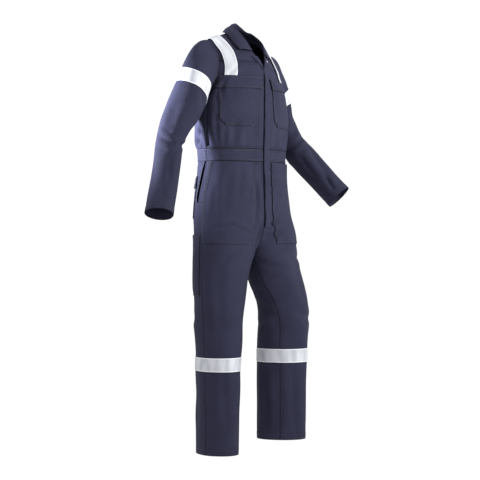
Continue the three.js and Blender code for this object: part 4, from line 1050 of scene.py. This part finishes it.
def sleeveTapeBody(side):
    body = sleeveBody(side)
    place, lean = [np.array(x, float) for x in sleeveSizes["tape"][side]]
    lean = lean / np.linalg.norm(lean)
    ts, ds = np.linspace(0, 1, 145), np.linspace(0, 260, 261)
    heights = (body["at"](ts[None, :], ds[:, None]) - place) @ lean
    under = 40 * ((1 + np.cos(ts * 2 * np.pi)) / 2) ** 3

    def downSleeve(t, k):
        goal = lerp(-tapeSizes["width"] / 2, tapeSizes["width"] / 2, k)
        t, goal = np.broadcast_arrays(t, goal)
        flat = np.empty(t.size)
        for n, (at, g) in enumerate(zip(t.ravel(), goal.ravel())):
            i = min(len(ts) - 2, int(at * (len(ts) - 1)))
            w = at * (len(ts) - 1) - i
            column = lerp(heights[:, i] - under[i], heights[:, i + 1] - under[i + 1], w)
            flat[n] = np.interp(g, column, ds)
        return flat.reshape(t.shape)

    return {"at": lambda t, k: body["at"](t, downSleeve(t, k)), "sign": body["sign"],
            "relief": lambda t, k, p: body["relief"](t, downSleeve(t, k), p)}


makeBodice()
print("bodice made")
makeTrousers()
print("trousers made")
makeSleeves()
makeCollar()
makeLapels()
makeFly()
print("sleeves, collar and front strip made")
makeChestPockets()
makeTrouserPockets()
print("pockets made")
makeTapes()
print("tapes made")

# Sewing: rows of stitches along the edges, laid by a node group
stitchSizes = {"pitch": 3.1, "long": 2.3, "thick": 0.5, "clear": 0.2}
topstitch = {"u0": (1.8, 6.3), "u1": (1.8, 6.3), "v0": (1.8, 6.3)}
stitchRows = {
    "yoke": {"u0": (1.8, 7), "u1": (1.8, 7), "v1": (1.8, 8)}, "collar": {"u0": (5,), "u1": (5,), "v1": (5,)},
    "frontRight": {"u0": (16,)}, "trouserFrontRight": {"u0": (16,), "v0": (20,)}, "trouserFrontLeft": {"v0": (20,)},
    "trouserBackRight": {"u0": (1.8, 8), "v0": (20,), "u1": (1.8, 8)},
    "trouserBackLeft": {"u0": (1.8, 8), "v0": (20,), "u1": (1.8, 8)},
    "waistbandFrontRight": {"v0": (2, 6), "v1": (2, 6)}, "waistbandFrontLeft": {"v0": (2, 6), "v1": (2, 6)},
    "waistbandBack": {"v0": (5, 14, 22), "v1": (5, 14)}, "sleeveRight": {"v1": (18.5,), "v0": (2.5,)},
    "sleeveLeft": {"v1": (18.5,), "v0": (2.5,)}, "flyStrip": {"u1": (1.8,), "v0": (3,)},
    "rulePocket": {**topstitch, "v1": (10,)},
    **{name + word: topstitch for name in ("chestPocket", "hipPocket", "seatPocket") for word in ("Right", "Left")},
    **{name + word: {**topstitch, "v1": (2,)} for name in ("chestFlap", "seatFlap") for word in ("Right", "Left")},
}
tapeRows = {**{"shoulderTape" + word: {"u0": (3,), "u1": (3,)} for word in ("Right", "Left")},
            **{name + word: {"v0": (3,), "v1": (3,)} for name in ("sleeveTape",
                                                                  "legTape") for word in ("Right", "Left")}}


def stitchLine(piece, key, distance):
    points, away = piece["outer"] + piece["normal"] * stitchSizes["clear"], piece["edge"][key]
    if key[0] == "v":
        points, away = points.transpose(1, 0, 2), away.T
    if key[1] == "1":
        points, away = points[:, ::-1], away[:, ::-1]
    return np.array([[np.interp(distance, row, line[:, k]) for k in range(3)] for row, line in zip(away, points)])


def stitchNodes(material):
    group = bpy.data.node_groups.new("stitches", "GeometryNodeTree")
    add = group.interface.new_socket
    add("Geometry", in_out="INPUT", socket_type="NodeSocketGeometry")
    for name in ("Pitch", "Long", "Thick"):
        add(name, in_out="INPUT", socket_type="NodeSocketFloat")
    add("Geometry", in_out="OUTPUT", socket_type="NodeSocketGeometry")
    nodes, link = group.nodes, group.links.new
    start, end = nodes.new("NodeGroupInput"), nodes.new("NodeGroupOutput")
    curve, dots = nodes.new("GeometryNodeMeshToCurve"), nodes.new("GeometryNodeCurveToPoints")
    dots.mode = "LENGTH"
    size, thread = nodes.new("ShaderNodeCombineXYZ"), nodes.new("GeometryNodeMeshCube")
    turn, place = nodes.new("FunctionNodeAlignRotationToVector"), nodes.new("GeometryNodeInstanceOnPoints")
    turn.axis = "X"
    real, paint = nodes.new("GeometryNodeRealizeInstances"), nodes.new("GeometryNodeSetMaterial")
    paint.inputs["Material"].default_value = material
    link(start.outputs["Geometry"], curve.inputs[0])
    link(curve.outputs[0], dots.inputs["Curve"])
    link(start.outputs["Pitch"], dots.inputs["Length"])
    link(start.outputs["Long"], size.inputs["X"])
    link(start.outputs["Thick"], size.inputs["Y"])
    link(start.outputs["Thick"], size.inputs["Z"])
    link(size.outputs[0], thread.inputs["Size"])
    link(dots.outputs["Tangent"], turn.inputs["Vector"])
    link(dots.outputs["Points"], place.inputs["Points"])
    link(thread.outputs["Mesh"], place.inputs["Instance"])
    link(turn.outputs[0], place.inputs["Rotation"])
    link(place.outputs[0], real.inputs[0])
    link(real.outputs[0], paint.inputs["Geometry"])
    link(paint.outputs[0], end.inputs[0])
    return group


def makeStitches(name, rows, finish):
    vertices, edges = [], []
    for piece, keys in rows.items():
        for key, distances in keys.items():
            for distance in distances:
                line = stitchLine(pieces[piece], key, distance) * mm
                edges += [(len(vertices) + i, len(vertices) + i + 1) for i in range(len(line) - 1)]
                vertices += line.tolist()
    mesh = bpy.data.meshes.new(name + "Lines")
    mesh.from_pydata(vertices, edges, [])
    made = bpy.data.objects.new(name, mesh)
    bpy.context.scene.collection.objects.link(made)
    modifier = made.modifiers.new("stitches", "NODES")
    modifier.node_group = stitchNodes(finish["material"])
    sockets = {item.name: item.identifier for item in modifier.node_group.interface.items_tree if item.in_out == "INPUT"}
    for socket, size in (("Pitch", "pitch"), ("Long", "long"), ("Thick", "thick")):
        modifier[sockets[socket]] = stitchSizes[size] * mm
    made.update_tag()
    seen = made.evaluated_get(bpy.context.evaluated_depsgraph_get())
    real = bpy.data.meshes.new_from_object(seen)
    made.modifiers.clear()
    made.data = real
    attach(made, "root")
    print(name, len(real.polygons) * 2, "triangles")


makeStitches("clothStitches", stitchRows, navyThread)
makeStitches("tapeStitches", tapeRows, tapeThread)

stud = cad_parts["collar_stud"]
stud.data.materials.clear()
stud.data.materials.append(studMaterial())

# Studio
studio = {"floorDrop": 0.3, "floorSize": 400, "floorColour": (0.99, 0.99, 0.99, 1), "air": (1.0, 1.0, 1.0, 1),
          "airStrength": 1.04}
lights = {
    "key": {"place": (1.5, -4.1, 0.3), "aim": (0, 0, -0.2), "size": 1.0, "power": 19, "spread": 46,
            "colour": (1, 0.99, 0.97)},
    "rim": {"place": (-1.05, 0.86, -0.2), "aim": (-0.15, 0.03, -0.32), "size": 0.3, "power": 7.5, "spread": 34,
            "colour": (0.84, 0.88, 1)},
}


def makeStudio():
    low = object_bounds()[0]
    mesh = bpy.data.meshes.new("floor")
    size, z = studio["floorSize"], low.z - studio["floorDrop"]
    mesh.from_pydata([(-size, -size, z), (size, -size, z), (size, size, z), (-size, size, z)], [], [(0, 1, 2, 3)])
    floor = bpy.data.objects.new("floor", mesh)
    bpy.context.scene.collection.objects.link(floor)
    material, nodes, links, shader = newMaterial("paleFloor")
    shader.inputs["Base Color"].default_value = studio["floorColour"]
    shader.inputs["Roughness"].default_value = 0.9
    mesh.materials.append(material)
    floor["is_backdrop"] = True
    world = bpy.data.worlds.new("studio")
    world.use_nodes = True
    world.node_tree.nodes["Background"].inputs["Color"].default_value = studio["air"]
    world.node_tree.nodes["Background"].inputs["Strength"].default_value = studio["airStrength"]
    bpy.context.scene.world = world
    for name, light in lights.items():
        data = bpy.data.lights.new(name, "AREA")
        data.size, data.energy, data.color = light["size"], light["power"], light["colour"]
        data.spread = math.radians(light["spread"])
        lamp = bpy.data.objects.new(name, data)
        bpy.context.scene.collection.objects.link(lamp)
        lamp.location = light["place"]
        aim = np.array(light["aim"]) - np.array(light["place"])
        yaw, pitch = math.atan2(aim[1], aim[0]), math.atan2(aim[2], math.hypot(aim[0], aim[1]))
        lamp.rotation_euler = (math.pi / 2 + pitch, 0, yaw - math.pi / 2)
    bpy.context.scene.view_settings.view_transform = "Standard"


makeStudio()
print("studio made")

{"cad": [list(corner) for corner in cadBox], "visual": [list(corner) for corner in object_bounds()]}
